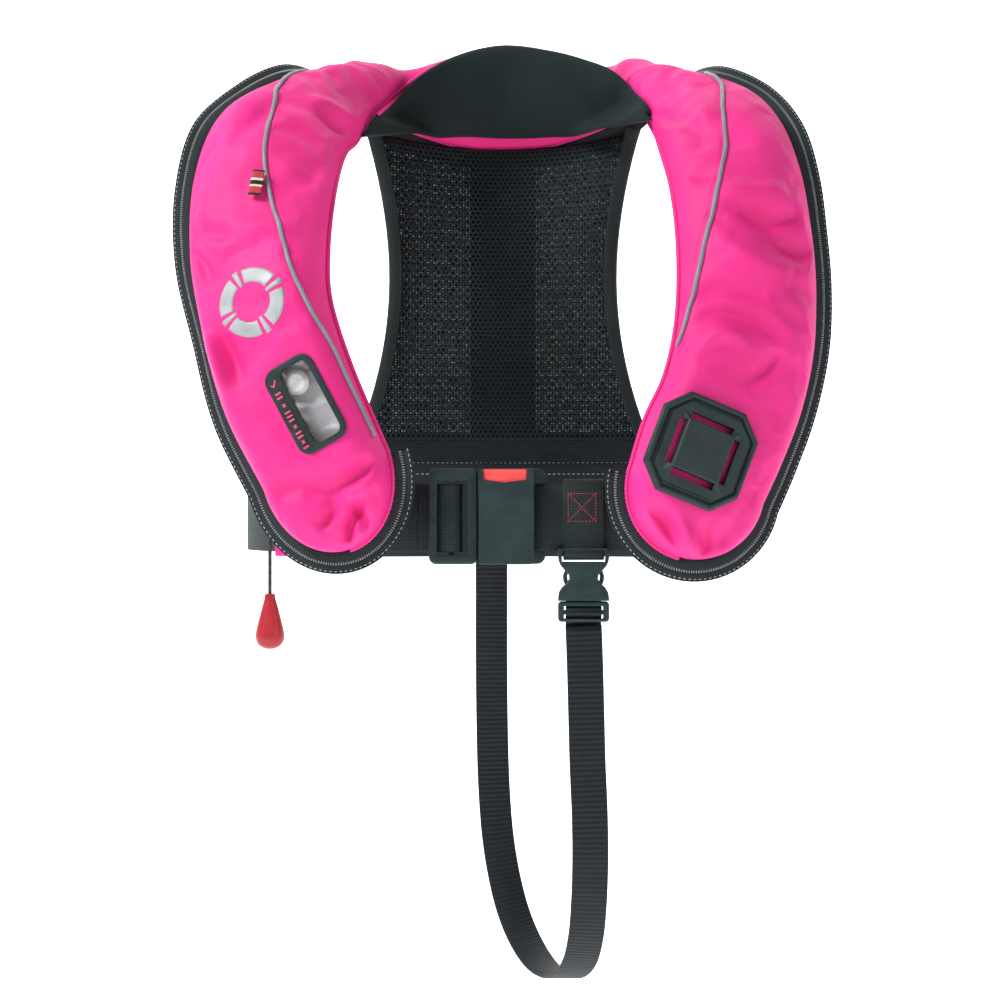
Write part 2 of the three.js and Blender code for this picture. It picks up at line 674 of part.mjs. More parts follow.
function addBackPanel() {
  const edge = (z) => panelHalfWidth(z) - bindingWidth;
  const minus = (f) => (z) => -f(z);
  add("back_mesh_panel", panelPiece(panelTopZ, panelSeamZ + gap, 12, minus(edge), edge, 10,
      panelThickness), "mesh");
  const bindingIn = (z) => edge(z) + gap;
  add("back_binding_left", panelPiece(panelTopZ, panelBottomZ, 14, minus(panelHalfWidth),
      minus(bindingIn), 1, 6.5), "webbing");
  add("back_binding_right", panelPiece(panelTopZ, panelBottomZ, 14, bindingIn, panelHalfWidth, 1, 6.5),
      "webbing");
  add("back_lower_band", panelPiece(panelSeamZ, panelBottomZ, 2, minus(edge), edge, 10,
      panelThickness + 1), "mesh");
  const tapeHalf = () => 26;
  const tapeShift = panelThickness / 2 + gap + 1;
  add("back_webbing", panelPiece(panelTopZ - 7, panelBottomZ, 10, minus(tapeHalf), tapeHalf, 4, 1.6,
      tapeShift + 0.6), "webbing");
  // Sleeve at the foot of the panel: front and back cloth round the waist belt.
  const path = range(-sleeveHalfWidth, sleeveHalfWidth, 12).map((x) => beltAtX(x));
  const rings = path.map(({ at, out }) => {
    const ring = (half, top, bottom) =>
      [[-half, bottom], [half, bottom], [half, top], [-half, top]].map(([d, z]) => along(vec(at.x,
          at.y, z), out, d));
    return { outer: ring(4.2, sleeveTopZ, sleeveBottomZ), inner: ring(2.4, sleeveTopZ - 4,
        sleeveBottomZ + 4) };
  });
  const outside = loft(rings.map((r) => r.outer));
  const stretched = rings.map((r) => r.inner);
  const pull = (ring, next) => ring.map((p, i) => along(p, p.clone().sub(next[i]).normalize(), 3));
  stretched.unshift(pull(stretched[0], stretched[1]));
  stretched.push(pull(stretched[stretched.length - 1], stretched[stretched.length - 2]));
  add("back_belt_sleeve", cut(outside, loft(stretched)), "webbing");
}

// ---------- waist belt ----------
const beltPlan = [
  [20, beltFrontY], [70, beltFrontY], [120, beltFrontY + 3], [158, beltFrontY + 25], [beltSideX, -105],
  [beltSideX - 7, -45], [148, -2], [105, 15], [55, 24], [0, beltBackY],
];
const mirrored = beltPlan.slice(0, -1).reverse().map(([x, y]) => [-x, y]);
const beltCurve = new THREE.CatmullRomCurve3([...beltPlan, ...mirrored].map(([x, y]) => vec(x, y, beltZ)));
const beltLine = strapLine(beltCurve, 400, vec(0, 0, 1));

function beltAtX(x) {
  const back = beltLine.filter(({ at }) => at.y > -20);
  return back.reduce((best, p) => (Math.abs(p.at.x - x) < Math.abs(best.at.x - x) ? p : best));
}

// The stretch of the belt whose points pass a test, in longer steps.
function beltPiece(keep, thin = 5) {
  const kept = beltLine.filter(({ at }) => keep(at));
  const thinned = kept.filter((_, i) => i % thin === 0 || i === kept.length - 1);
  return strap(thinned, beltWidth, beltThickness);
}

const looseBeltFromX = -128; // the stretch left of the buckle that gives as the tongue is drawn out
const tongueBarX = -36;

function addBelt() {
  const isFront = (p) => p.y < -150;
  add("waist_belt_right", beltPiece((p) => p.x > gap && !(isFront(p) && p.x < housingRightX + gap)),
      "webbing");
  add("waist_belt_left", beltPiece((p) => p.x < -gap && !(isFront(p) && p.x > looseBeltFromX - gap)),
      "webbing");
  const isLoose = (p) => isFront(p) && p.x < tongueBarX + 10 && p.x > looseBeltFromX + gap;
  add("waist_belt_front_left", beltPiece(isLoose), "webbing");
}

// Fabric tunnels behind the lobes, which hold them down to the belt, and the wing that joins each to its
// lobe.
function tunnel(fromX, toX) {
  const front = beltLine.filter(({ at }) => at.y < -120 && at.x > fromX && at.x < toX);
  const line = front.filter((_, i) => i % 3 === 0);
  const ring = (half, height) =>
    line.map(({ at, across, out }) =>
      [[-half, -height], [half, -height], [half, height], [-half, height]].map(([d, h]) =>
        along(along(at, out, d), across, h),
      ),
    );
  const inner = ring(beltThickness / 2 + 1, beltWidth / 2 + 1);
  const pull = (a, b) => a.map((p, i) => along(p, p.clone().sub(b[i]).normalize(), 4));
  inner.unshift(pull(inner[0], inner[1]));
  inner.push(pull(inner[inner.length - 1], inner[inner.length - 2]));
  return cut(loft(ring(beltThickness / 2 + 2.2, beltWidth / 2 + 3)), loft(inner));
}

function addTunnels() {
  for (const [side, name] of [[-1, "left"], [1, "right"]]) {
    const ends = [side * 134, side * 158].sort((a, b) => a - b);
    add(`belt_tunnel_${name}`, tunnel(...ends), "cover");
    const topZ = -228;
    const bottomZ = beltZ + beltWidth / 2 + 3 + 2 * gap;
    const front = beltLine.filter(({ at }) => at.y < -120);
    const beltY = (x) => front.reduce((a, b) => (Math.abs(b.at.x - x) < Math.abs(a.at.x - x) ? b : a)).at.y;
    const rows = range(0, 1, 3).map((share) =>
      [0, 1, 2].map((i) => {
        const top = vec(side * (153 + 24 * i), -176 + 4 * i, topZ);
        const x = side * (140 + 18 * i);
        return top.lerp(vec(x, beltY(x), bottomZ), share);
      }),
    );
    add(`belt_wing_${name}`, sheetOn(rows, 1.4), "cover");
  }
}

// ---------- push-button buckle ----------
const buckleTopZ = beltZ + buckleHeight / 2 + 1.5;
const buckleBottomZ = buckleTopZ - buckleHeight;
const plateY = (buckleFrontY + buckleRearY) / 2;

function addBuckle() {
  // Tongue: a frame with a webbing bar, and a flat blade that enters the housing.
  const frameWidth = housingLeftX - gap - tongueLeftX;
  const frameShape = roundedRect(frameWidth, buckleHeight, 5);
  const window = new THREE.BoxGeometry(21, 40, beltWidth + 4.5);
  const frame = upright(frameShape, 0, 9, 1.2).translate(tongueLeftX + frameWidth / 2, plateY - 4.5,
      beltZ + 1.5);
  const opening = window.translate(tongueBarX + 1, plateY, beltZ + 0.5);
  const bar = block(tongueBarX - 1.5, tongueBarX + 2.5, plateY - 1.5, plateY + 2.5, buckleBottomZ + 6,
      buckleTopZ - 6);
  const blade = block(
    housingLeftX - 3, housingLeftX + tonguePlateReach,
    plateY - tonguePlateThickness / 2, plateY + tonguePlateThickness / 2,
    beltZ - tonguePlateHeight / 2, beltZ + tonguePlateHeight / 2,
  );
  const latchHole = block(housingLeftX + 8, housingLeftX + 15, plateY - 9, plateY + 9, beltZ - 8,
      beltZ + 8);
  add("buckle_tongue", cut(join(cut(frame, opening), bar, blade), latchHole), "plastic");

  // Housing: front shell with a button well in its top and rear plate with the fixed webbing bar.
  const frontShape = roundedRect(housingRightX - housingLeftX - 8, buckleHeight, 4);
  const frontMiddle = (housingLeftX + housingRightX - 8) / 2;
  const shell = upright(frontShape, 0, plateY - buckleFrontY + 3, 1.6).translate(frontMiddle,
      buckleFrontY, beltZ + 1.5);
  const inside = block(housingLeftX - 5, housingRightX - 8 - housingWall, buckleFrontY + housingWall,
      plateY + 9,
    buckleBottomZ + housingWall, buckleTopZ - 16);
  const well = block(-buttonWidth / 2 - 0.5 + 1, buttonWidth / 2 + 0.5 + 1, buckleFrontY - 2, plateY + 9,
    buckleTopZ - 17, buckleTopZ + 5);
  const springSeat = block(-11, -3, buckleFrontY + 1, plateY - tonguePlateThickness / 2 - 0.6,
      buckleTopZ - 24.4, buckleTopZ - 22);
  add("buckle_housing_front", join(cut(shell, inside, well), springSeat), "plastic");

  const rearShape = roundedRect(housingRightX - housingLeftX, buckleHeight, 6);
  const rearMiddle = (housingLeftX + housingRightX) / 2;
  const rearThickness = 3;
  const rear = upright(rearShape, 0, rearThickness, 0.8);
  const strapSlot = new THREE.BoxGeometry(5, 20, beltWidth + 3).translate(19, 0, -1.5);
  const rearPlate = cut(rear, strapSlot).translate(rearMiddle, buckleRearY - rearThickness - 2,
      beltZ + 1.5);
  add("buckle_housing_rear", rearPlate, "plastic");

  // Button with its latch leg, pressed down against a coil spring.
  const head = block(1 - buttonWidth / 2, 1 + buttonWidth / 2, buckleFrontY + 0.6, plateY + 1.6,
      buckleTopZ - 12, buckleTopZ - 0.6);
  const leg = block(0, 5, buckleFrontY + housingWall + 1, plateY - tonguePlateThickness / 2 - 0.6,
      beltZ + 2, buckleTopZ - 11);
  add("release_button", join(head, leg), "red");
  const turns = 4;
  const springLength = 9;
  const springPoints = range(0, turns, turns * 8).map((turn) =>
    vec(1.6 * Math.cos(2 * Math.PI * turn), 1.6 * Math.sin(2 * Math.PI * turn),
        (springLength * turn) / turns),
  );
  const spring = roundSweep(new THREE.CatmullRomCurve3(springPoints), 0.45, turns * 9, 5);
  add("button_spring", spring.translate(-7, plateY - 3.9, buckleTopZ - 12.6 - springLength), "steel");
}

// ---------- crotch strap and its side-release buckle ----------
const socketX = crotchTabX;
const socketY = beltFrontY - 6.2;
const socketBottomZ = sideBuckleTopZ - socketHeight;
const socketBarHeight = 5; // the bar across the top that the tab hangs it from
const socketSlotHeight = 4.2;
const cavityTopZ = sideBuckleTopZ - 11;
const cavityWidth = 27;
const cavityDepth = 5.2;

function addCrotchTab() {
  // A closed loop of webbing: over the belt, down in front of the socket's bar, back under it and under
  // the belt.
  const turn = 2.6;
  const beltTop = beltZ + beltWidth / 2;
  const overBelt = range(0, Math.PI, 6).map((a) => [beltFrontY + turn * Math.cos(a),
      beltTop + turn * Math.sin(a)]);
  const slotZ = sideBuckleTopZ - socketBarHeight - socketSlotHeight / 2;
  const down = [
    [beltFrontY - 3, beltZ - 8], [socketY - 3.4, sideBuckleTopZ + 1.5], [socketY - 3.4, slotZ + 3.6],
    [socketY - 2.6, slotZ + 0.9], [socketY - 0.6, slotZ], [beltFrontY, slotZ], [beltFrontY + 2.1,
        slotZ + 1.4],
    [beltFrontY + turn, slotZ + 5],
  ];
  const outline = [...overBelt, ...down];
  const line = outline.map(([y, z], i) => {
    const next = outline[(i + 1) % outline.length];
    const before = outline[(i + outline.length - 1) % outline.length];
    const out = vec(0, next[1] - before[1], before[0] - next[0]).normalize();
    return { at: vec(crotchTabX, y, z), across: vec(1, 0, 0), out };
  });
  add("crotch_tab", strap(line, crotchTabWidth, 1.4, true), "webbing");
}

// Half width of the socket's outline at a distance below its top: wide, pinched at the waist, wide again.
const socketHalf = (depth) => sideBuckleWidth / 2 - 8 * Math.exp(-(((depth - 20) / 6.5) ** 2));

function addSideBuckle() {
  const shape = new THREE.Shape();
  const right = range(0, socketHeight, 12).map((d) => [socketHalf(d), sideBuckleTopZ - d]);
  const left = right.map(([x, z]) => [-x, z]).reverse();
  shape.setFromPoints([...right, ...left].map(([x, z]) => new THREE.Vector2(x, z)));
  const body = upright(shape, 0, sideBuckleDepth, 0.8).translate(socketX, socketY - sideBuckleDepth / 2, 0);
  const cavity = block(socketX - 40, socketX + 40, socketY - cavityDepth / 2, socketY + cavityDepth / 2,
    socketBottomZ - 5, cavityTopZ);
  const slotTopZ = sideBuckleTopZ - socketBarHeight;
  const tabHalf = crotchTabWidth / 2 + gap;
  const slot = block(socketX - tabHalf, socketX + tabHalf, socketY - 9, socketY + 9,
      slotTopZ - socketSlotHeight, slotTopZ);
  const recess = block(socketX - tabHalf, socketX + tabHalf, socketY - 9, socketY - 2.2, slotTopZ - 2,
      sideBuckleTopZ + 3);
  const keys = [-1, 1].map((side) =>
    block(socketX + side * 4.6 - 0.8, socketX + side * 4.6 + 0.8, socketY - cavityDepth / 2 - 0.5,
      socketY + cavityDepth / 2 + 0.5, sideBuckleTopZ - 30, cavityTopZ + 1),
  );
  add("side_buckle_socket", join(cut(body, cavity, slot, recess), ...keys), "plastic");

  // Plug: a ladder frame for the strap and a centre guide.
  const baseTop = socketBottomZ - gap;
  const baseShape = roundedRect(sideBuckleWidth, plugBaseHeight, 2.5);
  const base = upright(baseShape, 0, 7, 0.8).translate(socketX, socketY - 3.5,
      baseTop - plugBaseHeight / 2);
  const slots = [-4.6, -10.4].map((z) =>
    block(socketX - crotchStrapWidth / 2 - 1, socketX + crotchStrapWidth / 2 + 1, socketY - 9,
        socketY + 9, baseTop + z - 1.4, baseTop + z + 1.4),
  );
  const guide = block(socketX - 2.6, socketX + 2.6, socketY - 1.8, socketY + 1.8, baseTop - 2,
      baseTop + 22);
  add("side_buckle_plug", join(cut(base, ...slots), guide), "plastic");

  // Squeeze arms: they spring outwards in the socket's open sides.
  for (const [side, name] of [[-1, "left"], [1, "right"]]) {
    const reach = 24;
    const bow = (d) => cavityWidth / 2 - 2.2 + 3 * Math.exp(-(((d - 16) / 6) ** 2));
    const outer = range(0, reach, 7).map((d) => new THREE.Vector2(side * bow(d), baseTop + gap + d));
    const inner = range(reach, 0, 7).map((d) => new THREE.Vector2(side * (bow(d) - armThickness),
        baseTop + gap + d));
    const arm = upright(new THREE.Shape([...outer, ...inner]), 0, 3.8).translate(socketX, socketY - 1.9, 0);
    add(`side_buckle_arm_${name}`, arm, "plastic");
  }
}

// The crotch strap hangs free in one loop from the plug, under the wearer, up to the back of the belt
// sleeve.
const crotchRoute = [
  [55, -196, -369.5], [56, -195, -395], [57, -193, -430], [58, -191, -465], [59.5, -190, -500], [60,
      -187, -532],
  [59.5, -178, -562], [58, -161, -590], [54, -136, -614], [46, -106, -630], [37, -76, -635], [27, -46,
      -632],
  [17, -19, -621], [8, 3, -603], [1, 17, -578], [-4, 25, -548], [-7, 29, -510], [-8.5, 30, -460],
  [-9, 29.5, -405], [-9, 28.5, -360], [-9, beltBackY, -327.5],
];

function addCrotchStrap() {
  const curve = new THREE.CatmullRomCurve3(crotchRoute.map((p) => vec(...p)));
  add("crotch_strap", strap(strapLine(curve, 44, vec(1, 0, 0)), crotchStrapWidth,
      crotchStrapThickness), "webbing");
}

// ---------- pull handle ----------
function addPullHandle() {
  const cordTopZ = cordExitZ + cordInGuide;
  const cord = new THREE.CylinderGeometry(cordRadius, cordRadius, cordTopZ - handleTopZ - gap, 8, 8)
    .rotateX(Math.PI / 2)
    .translate(cordX, cordY, (cordTopZ + handleTopZ + gap) / 2);
  add("pull_cord", cord, "zip");
  const profile = [[0, 0], [3.6, 0], [4.4, -4], [7.4, -16], [9.6, -24], [handleRadius, -28.5], [9.4,
      -32.5], [6.6, -36.5], [3, -handleLength], [0, -handleLength]];
  const handle = new THREE.LatheGeometry(profile.reverse().map(([r, z]) => new THREE.Vector2(r, z)), 20);
  add("pull_handle", handle.rotateX(Math.PI / 2).translate(cordX, cordY, handleTopZ), "red");
  // The cord comes out of the cover through this stitched guide.
  const guideOuter = new THREE.CylinderGeometry(cordRadius + gap + guideWall,
      cordRadius + gap + guideWall, cordInGuide + 4, 10);
  const guideBore = new THREE.CylinderGeometry(cordRadius + gap, cordRadius + gap, cordInGuide + 20, 10);
  const guide = cut(guideOuter, guideBore).rotateX(Math.PI / 2);
  add("cord_guide", guide.translate(cordX, cordY, cordExitZ + (cordInGuide + 4) / 2), "zip");
}

addCovers();
addWindow();
addBladder();
addZip();
addZipSlider();
addPiping();
addSideLabel();
addLashTab();
addInflator();
addMouthTube();
addCollar();
addBelt();
addBackPanel();
addTunnels();
addBuckle();
addCrotchTab();
addSideBuckle();
addCrotchStrap();
addPullHandle();

export default jacket;
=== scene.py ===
"""Inflatable life jacket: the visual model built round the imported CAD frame.

Sizes are in millimetres; every mesh is written in metres in the frame's axes (+Z up, the front faces -Y)."""
import math
import bpy
import bmesh
from mathutils import Matrix, Vector, noise
from mathutils.bvhtree import BVHTree


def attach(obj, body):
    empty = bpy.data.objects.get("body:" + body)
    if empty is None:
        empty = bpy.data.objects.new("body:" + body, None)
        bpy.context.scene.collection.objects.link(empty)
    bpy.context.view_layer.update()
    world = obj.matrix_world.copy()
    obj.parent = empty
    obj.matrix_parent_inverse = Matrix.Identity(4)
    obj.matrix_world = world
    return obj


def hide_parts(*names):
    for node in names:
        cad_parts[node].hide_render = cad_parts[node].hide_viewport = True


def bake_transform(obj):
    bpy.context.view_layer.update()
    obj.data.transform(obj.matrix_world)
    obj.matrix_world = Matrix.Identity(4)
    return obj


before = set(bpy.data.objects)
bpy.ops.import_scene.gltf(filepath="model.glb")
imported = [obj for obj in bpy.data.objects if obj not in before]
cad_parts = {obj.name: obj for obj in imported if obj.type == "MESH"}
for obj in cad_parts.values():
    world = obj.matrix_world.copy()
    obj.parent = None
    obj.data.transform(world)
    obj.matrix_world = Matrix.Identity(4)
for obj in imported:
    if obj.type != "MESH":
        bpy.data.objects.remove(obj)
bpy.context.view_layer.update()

MM = 0.001
scene = bpy.context.scene

# ---------------------------------------------------------------- camera
EYE = Vector((-2.3, -1690, -283.4))
lens = bpy.data.cameras.new("camera")
lens.lens = 78.4
lens.sensor_width = 36
camera = bpy.data.objects.new("camera", lens)
camera.location = EYE * MM
camera.rotation_euler = (math.radians(90), 0, 0)
scene.collection.objects.link(camera)
scene.camera = camera

scene.view_settings.view_transform = "Standard"

# ---------------------------------------------------------------- sizes shared with the frame
LOBE_BULGE = 30
NECK_BULGE = 19
BODY_BULGE = 15
SEAM_GAP = 1.4
LEFT_END = 54
RIGHT_END = 47
BELT_WIDTH = 47
BELT_Z = -296
STRAP_WIDTH = 25

# Edge pairs of the horseshoe, [edge nearest the neck, outer edge], left lobe's end to right lobe's end.
EDGES = [
    [(-77, -224, -253), (-160, -206, -278)],
    [(-104, -220, -190), (-186, -198, -227)],
    [(-118, -212, -145), (-203, -184, -169)],
    [(-120, -200, -112), (-216, -170, -117)],
    [(-118, -174, -71), (-218, -152, -63)],
    [(-114, -125, -35), (-207, -135, -18)],
    [(-108, -85, -19), (-181, -110, 10)],
    [(-98, -50, 7), (-153, -80, 28)],
    [(-78, -22, 31), (-124, -36, 31)],
    [(-47, -6, 54), (-80, 8, 6)],
    [(0, 2, 68), (0, 42, -8)],
    [(52, -6, 57), (80, 8, 6)],
    [(81, -22, 33), (124, -36, 31)],
    [(102, -48, 12), (153, -78, 27)],
    [(112, -84, -13), (184, -108, 8)],
    [(114, -122, -33), (201, -132, -19)],
    [(118, -164, -65), (210, -149, -55)],
    [(120, -187, -97), (214, -160, -92)],
    [(120, -202, -133), (216, -171, -133)],
    [(117, -211, -167), (213, -182, -176)],
    [(109, -217, -200), (202, -193, -221)],
    [(96, -221, -228), (187, -200, -260)],
    [(84, -224, -266), (174, -206, -288)],
]
NECK = 10
LAST = len(EDGES) - 1
LEFT_SEAM = 7.6
RIGHT_SEAM = 12.6
# How far the cloth and the rolled hem run into the lobes' round ends, where 1 is the very tip.
LOBE_TIP = 0.985
HEM_TIP = 0.995
# How strongly the listed creases are drawn, before the cloth settles and once more after it.
CREASE_GAIN = 1.7
CREASE_AGAIN = 0.95
CREASE_NARROWING = 0.85
# The farthest that the settling cloth may move.
SETTLE_CAP = 5


# ---------------------------------------------------------------- the horseshoe's surface
def spline_point(points, station):
    """Centripetal Catmull-Rom curve through the points, one unit of station from each point to the next."""
    last = len(points) - 1
    i = min(int(station), last - 1)
    w = station - i
    p1, p2 = points[i], points[i + 1]
    p0 = points[i - 1] if i > 0 else 2 * points[0] - points[1]
    p3 = points[i + 2] if i + 2 <= last else 2 * points[last] - points[last - 1]
    d0, d1, d2 = (max((b - a).length, 1e-4) ** 0.5 for a, b in ((p0, p1), (p1, p2), (p2, p3)))
    t1 = ((p1 - p0) / d0 - (p2 - p0) / (d0 + d1) + (p2 - p1) / d1) * d1
    t2 = ((p2 - p1) / d1 - (p3 - p1) / (d1 + d2) + (p3 - p2) / d2) * d1
    return p1 + t1 * w + (-3 * p1 + 3 * p2 - 2 * t1 - t2) * w ** 2 + (2 * p1 - 2 * p2 + t1 + t2) * w ** 3


INNER = [Vector(e[0]) for e in EDGES]
OUTER = [Vector(e[1]) for e in EDGES]


def smooth(x):
    x = min(1.0, max(0.0, x))
    return x * x * (3 - 2 * x)


def eased(x, power):
    """x raised to a power with its sign kept, which squares off a round outline."""
    return math.copysign(abs(x) ** power, x)


def section(station):
    """Edges, out direction and swell at a station; below 0 and past the last lie the lobes' round ends."""
    s = min(LAST, max(0.0, station))
    inner, outer = spline_point(INNER, s), spline_point(OUTER, s)
    ahead, behind = min(LAST, s + 0.02), max(0.0, s - 0.02)
    travel = spline_point(INNER, ahead) + spline_point(OUTER, ahead)
    travel = (travel - spline_point(INNER, behind) - spline_point(OUTER, behind)).normalized()
    chord = outer - inner
    out = travel.cross(chord).normalized()
    from_neck = abs(s - NECK)
    on_neck = 1 - smooth((from_neck - 2) / 4)
    swell = LOBE_BULGE + (NECK_BULGE - LOBE_BULGE) * on_neck
    body = BODY_BULGE * (1 - 0.65 * math.exp(-((from_neck - 2) ** 2)))
    flat = 1 - smooth((min(s, LAST - s) - 1.6) / 2)
    past = station - s
    if past:
        turn = abs(past) * math.pi / 2
        axis = chord.cross(out).normalized()
        if axis.dot(travel) * past < 0:
            axis.negate()
        length = LEFT_END if past < 0 else RIGHT_END
        middle = (inner + outer) / 2 + axis * length * math.sin(turn)
        half = chord * math.cos(turn) / 2
        inner, outer = middle - half, middle + half
        swell *= max(0.0, math.cos(turn)) ** 0.6
        body *= max(0.0, math.cos(turn)) ** 0.6
    return inner, outer, out, swell, body, flat


def crown(v, flat=0.0):
    return max(0.0, 1 - abs(2 * v - 1) ** (2.8 + 4.6 * flat)) ** 0.6


def cover_point(station, v, side=1, lift=0.0):
    inner, outer, out, swell, body, flat = section(station)
    height = SEAM_GAP + (swell * crown(v, flat) if side > 0 else body * crown(v)) + lift
    return inner.lerp(outer, v) + out * side * height


def front_frame(station, v, lift=0.0):
    """Place on the front: x across to the viewer's right, y up the lobe, z out of it."""
    up = (cover_point(station + 0.02, v) - cover_point(station - 0.02, v)).normalized()
    low, high = max(0.0, v - 0.02), min(1.0, v + 0.02)
    across = (cover_point(station, high) - cover_point(station, low)).normalized()
    out = up.cross(across).normalized()
    at = cover_point(station, v) + out * lift
    if up.z < 0:
        up.negate()
    x = up.cross(out).normalized()
    y = out.cross(x)
    return Matrix(((x.x, y.x, out.x, at.x), (x.y, y.y, out.y, at.y), (x.z, y.z, out.z, at.z), (0, 0, 0, 1)))


# ---------------------------------------------------------------- mesh tools
def new_object(name, mesh):
    """A new object of the mesh, put in the scene."""
    piece = bpy.data.objects.new(name, mesh)
    scene.collection.objects.link(piece)
    return piece


def shade_smooth(mesh, on=True):
    """Smooth shading on every face, or on none."""
    mesh.polygons.foreach_set("use_smooth", [on] * len(mesh.polygons))


def mesh_from(shape, name, material):
    """The edited shape as a new mesh with its material."""
    mesh = bpy.data.meshes.new(name)
    shape.to_mesh(mesh)
    shape.free()
    mesh.materials.append(material)
    return mesh


def new_piece(name, points, faces, material, uv=None, smooth_faces=True):
    """An object from points in millimetres, with an optional list of one (u, v) in metres per point."""
    mesh = bpy.data.meshes.new(name)
    mesh.from_pydata([tuple(p * MM) for p in points], [], faces)
    mesh.materials.append(material)
    if uv:
        layer = mesh.uv_layers.new(name="UVMap")
        for loop in mesh.loops:
            layer.data[loop.index].uv = uv[loop.vertex_index]
    shade_smooth(mesh, smooth_faces)
    mesh.update()
    return new_object(name, mesh)


def grid_faces(rows, columns, closed_rows=False, closed_columns=False, flip=False):
    faces = []
    for i in range(rows if closed_rows else rows - 1):
        for j in range(columns if closed_columns else columns - 1):
            a, b = i * columns + j, i * columns + (j + 1) % columns
            c, d = (i + 1) % rows * columns + (j + 1) % columns, (i + 1) % rows * columns + j
            faces.append((a, d, c, b) if flip else (a, b, c, d))
    return faces


def capped_faces(rings, sides):
    """Faces of a pipe of rings, closed at both ends."""
    return grid_faces(rings, sides, closed_columns=True) + [
        tuple(range(sides)), tuple(rings * sides - 1 - k for k in range(sides))]


def outward(piece):
    """Doubles merged and faces turned out on a closed mesh."""
    shape = bmesh.new()
    shape.from_mesh(piece.data)
    bmesh.ops.remove_doubles(shape, verts=shape.verts, dist=1e-6)
    bmesh.ops.recalc_face_normals(shape, faces=shape.faces)
    shape.to_mesh(piece.data)
    shape.free()
    return piece


def add_modifier(piece, kind, **settings):
    modifier = piece.modifiers.new(kind.lower(), kind)
    for key, value in settings.items():
        setattr(modifier, key, value)
    return modifier


def applied(piece):
    """The piece with its modifiers made real."""
    evaluated = piece.evaluated_get(bpy.context.evaluated_depsgraph_get())
    mesh = bpy.data.meshes.new_from_object(evaluated)
    piece.modifiers.clear()
    old = piece.data
    piece.data = mesh
    bpy.data.meshes.remove(old)
    return piece


def subdivide(piece, levels=1):
    add_modifier(piece, "SUBSURF", levels=levels, render_levels=levels)


def strap(name, line, width, thickness, material):
    """Webbing along a list of (point, across, out): eight points round, so that its edges are rounded."""
    w, t = width / 2, thickness / 2
    ring = [(-w + t, -t), (w - t, -t), (w, -t * 0.5), (w, t * 0.5), (w - t, t), (-w + t, t), (-w, t * 0.5),
            (-w, -t * 0.5)]
    points, uv, run = [], [], 0.0
    for i, (at, across, out) in enumerate(line):
        if i:
            run += (at - line[i - 1][0]).length
        for a, b in ring:
            points.append(at + across * a + out * b)
            uv.append((run * MM, a * MM))
    return outward(new_piece(name, points, capped_faces(len(line), len(ring)), material, uv))


def tube(name, points, radius, material, sides=12, closed=False):
    """A round cord or pipe through the points."""
    rings, uv, run, across = [], [], 0.0, None
    for i, p in enumerate(points):
        ahead = points[(i + 1) % len(points) if closed else min(i + 1, len(points) - 1)]
        behind = points[i - 1 if closed else max(i - 1, 0)]
        travel = (ahead - behind).normalized()
        across = across or travel.orthogonal()
        across = (across - travel * across.dot(travel)).normalized()
        other = travel.cross(across)
        if i:
            run += (p - points[i - 1]).length
        for j in range(sides):
            angle = 2 * math.pi * j / sides
            rings.append(p + (across * math.cos(angle) + other * math.sin(angle)) * radius)
            uv.append((run * MM, angle * radius * MM))
    if closed:
        faces = grid_faces(len(points), sides, closed_rows=True, closed_columns=True)
    else:
        faces = capped_faces(len(points), sides)
    return outward(new_piece(name, rings, faces, material, uv))


def catmull(points, steps):
    """Evenly spaced points on the curve through a few points."""
    raw = [spline_point(points, (len(points) - 1) * i / 600) for i in range(601)]
    lengths = [0.0]
    for a, b in zip(raw, raw[1:]):
        lengths.append(lengths[-1] + (b - a).length)
    result, k = [], 0
    for i in range(steps + 1):
        goal = lengths[-1] * i / steps
        while k < 599 and lengths[k + 1] < goal:
            k += 1
        span = max(lengths[k + 1] - lengths[k], 1e-9)
        result.append(raw[k].lerp(raw[k + 1], min(1.0, (goal - lengths[k]) / span)))
    return result


def strap_line(points, width_direction):
    line = []
    for i, p in enumerate(points):
        travel = (points[min(i + 1, len(points) - 1)] - points[max(i - 1, 0)]).normalized()
        across = (width_direction - travel * width_direction.dot(travel)).normalized()
        line.append((p, across, travel.cross(across).normalized()))
    return line


BEVEL_ANGLE = 32


def refined(node, material, bevel, body="jacket", segments=2):
    """A moulded piece on its CAD node: the same shape with its edges rounded."""
    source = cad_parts[node]
    shape = bmesh.new()
    shape.from_mesh(source.data)
    bmesh.ops.remove_doubles(shape, verts=shape.verts, dist=2e-6)
    mesh = mesh_from(shape, node + "_moulded", material)
    piece = new_object(mesh.name, mesh)
    add_modifier(piece, "BEVEL", width=bevel * MM, segments=segments, limit_method="ANGLE",
                 angle_limit=math.radians(BEVEL_ANGLE), harden_normals=False, miter_outer="MITER_ARC")
    applied(piece)
    shade_smooth(piece.data)
    piece.data.set_sharp_from_angle(angle=math.radians(35))
    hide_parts(node)
    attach(piece, body)
    return piece


# ---------------------------------------------------------------- materials
WAVE, NOISE = "ShaderNodeTexWave", "ShaderNodeTexNoise"


def node_material(name):
    material = bpy.data.materials.new(name)
    material.use_nodes = True
    nodes = material.node_tree.nodes
    return material, nodes, material.node_tree.links, nodes["Principled BSDF"]


def set_sockets(node, **values):
    """Constants on a node's sockets, by their names in small letters."""
    for socket in node.inputs:
        key = socket.name.replace(" ", "_").lower()
        if key in values and socket.enabled:
            socket.default_value = values.pop(key)
    assert not values, values


